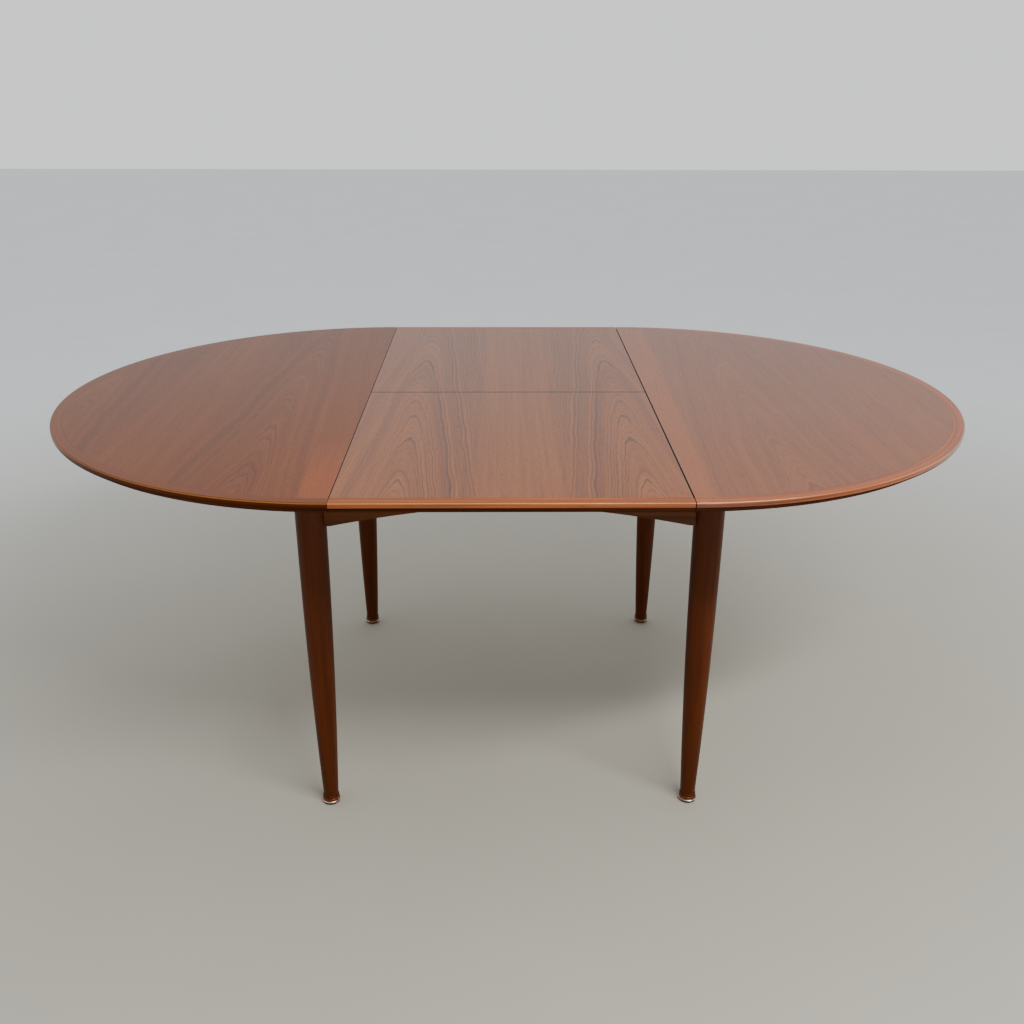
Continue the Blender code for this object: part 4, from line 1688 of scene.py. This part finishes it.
@dataclass
class Studio:
    """Floor, light and camera.

    Attributes:
        finishes: The table's finishes.
        camera_place: Where the camera stands.
        tilt: Degrees that it looks down.
        turn: Degrees that it looks to the right.
        roll: Degrees that it leans.
        lens: Focal length, millimetres on a 36 mm frame.
        bright_side: Strength of the surround behind the table.
        dim_side: Strength of the surround in front of it.
        fade: Y of the direction where the one starts to turn into the other, and where it ends.
        sky_tint: Colour of the surround.
        floor_size: Length of the floor's sides.
    """

    finishes: TableFinishes
    camera_place: Place = (-0.020, -2.143, 1.351)
    tilt: float = 22.345
    turn: float = 0.745
    roll: float = 0.172
    lens: float = 37.4
    bright_side: float = 1.05
    dim_side: float = 0.45
    fade: tuple[float, float] = (-0.8, 0.3)
    sky_tint: Colour = (0.98, 0.99, 1.0)
    floor_size: float = 30.0

    def build(self) -> None:
        """Set up the studio."""
        self.floor()
        self.sky()
        self.lamp("key_light", (1.10, -1.75, 2.45), (0.4, -0.3, 0.7), (1.7, 0.20), 66.0, (1.0, 0.98, 0.95))
        self.lamp("fill_light", (-2.6, -1.2, 2.4), (0.0, 0.0, 0.5), (2.6, 2.6), 12.0, (0.95, 0.98, 1.0))
        self.lamp("door_light", (0.95, -3.9, 1.0), (0.3, -0.6, 0.74), (1.1, 0.35), 26.0, (1.0, 0.99, 0.97))
        self.camera()

    def floor(self) -> Piece:
        """Lay a wide pale floor."""
        clear_selection()
        bpy.ops.mesh.primitive_grid_add(x_subdivisions=8, y_subdivisions=8, size=self.floor_size)
        floor = bpy.context.active_object
        floor.name = "studio_floor"
        floor.data.materials.append(self.finishes.floor.material())
        return floor

    def sky(self) -> None:
        """Put a pale surround round the studio, dimmer in front."""
        world = bpy.data.worlds.new("studio_surround")
        world.use_nodes = True
        tree = world.node_tree
        ground = tree.nodes["Background"]
        ground.inputs["Color"].default_value = (*self.sky_tint, 1.0)
        coordinates = tree.nodes.new("ShaderNodeTexCoord")
        parts = tree.nodes.new("ShaderNodeSeparateXYZ")
        fade = tree.nodes.new("ShaderNodeMapRange")
        fade.interpolation_type = "SMOOTHSTEP"
        for value, socket in zip((*self.fade, self.dim_side, self.bright_side), fade.inputs[1:5]):
            socket.default_value = value
        tree.links.new(coordinates.outputs["Generated"], parts.inputs[0])
        tree.links.new(parts.outputs["Y"], fade.inputs[0])
        tree.links.new(fade.outputs[0], ground.inputs["Strength"])
        bpy.context.scene.world = world

    def lamp(self, name: str, place: Place, aim: Place, size: tuple[float, float], power: float,
             tint: Colour) -> None:
        """Hang a soft light panel, not seen itself.

        Args:
            name: Its name.
            place: Where it hangs.
            aim: What it is turned to.
            size: Its width and height, in metres.
            power: In watts.
            tint: Its colour.
        """
        light = bpy.data.lights.new(name, "AREA")
        light.shape = "RECTANGLE"
        light.size, light.size_y = size
        light.energy = power
        light.color = tint
        lamp = placed(name, light)
        lamp.visible_camera = False
        turn = (Vector(aim) - Vector(place)).to_track_quat("-Z", "Y")
        lamp.matrix_world = Matrix.Translation(place) @ turn.to_matrix().to_4x4()

    def camera(self) -> None:
        """Stand the camera in front, looking down at the table."""
        lens = bpy.data.cameras.new("camera")
        lens.lens = self.lens
        lens.sensor_width = 36.0
        camera = placed("camera", lens)
        camera.matrix_world = (Matrix.Translation(self.camera_place)
                               @ Matrix.Rotation(-radians(self.turn), 4, "Z")
                               @ Matrix.Rotation(pi / 2 - radians(self.tilt), 4, "X")
                               @ Matrix.Rotation(radians(self.roll), 4, "Z"))
        bpy.context.scene.camera = camera


def main() -> None:
    """Build the table and its studio in order."""
    logging.basicConfig(level=logging.INFO, format="%(name)s: %(message)s")
    finishes = TableFinishes()
    for side in Side:
        HalfRoundEnd(side, finishes).build()
    FoldingLeaf(finishes).build()
    LeafHinges(finishes).build()
    TurnedLegs(finishes).build()
    Underframe(finishes).build()
    LegBolts(finishes).build()
    Runners(finishes).build()
    LeafStowage(finishes).build()
    Studio(finishes).build()


if __name__ == "__main__":
    main()
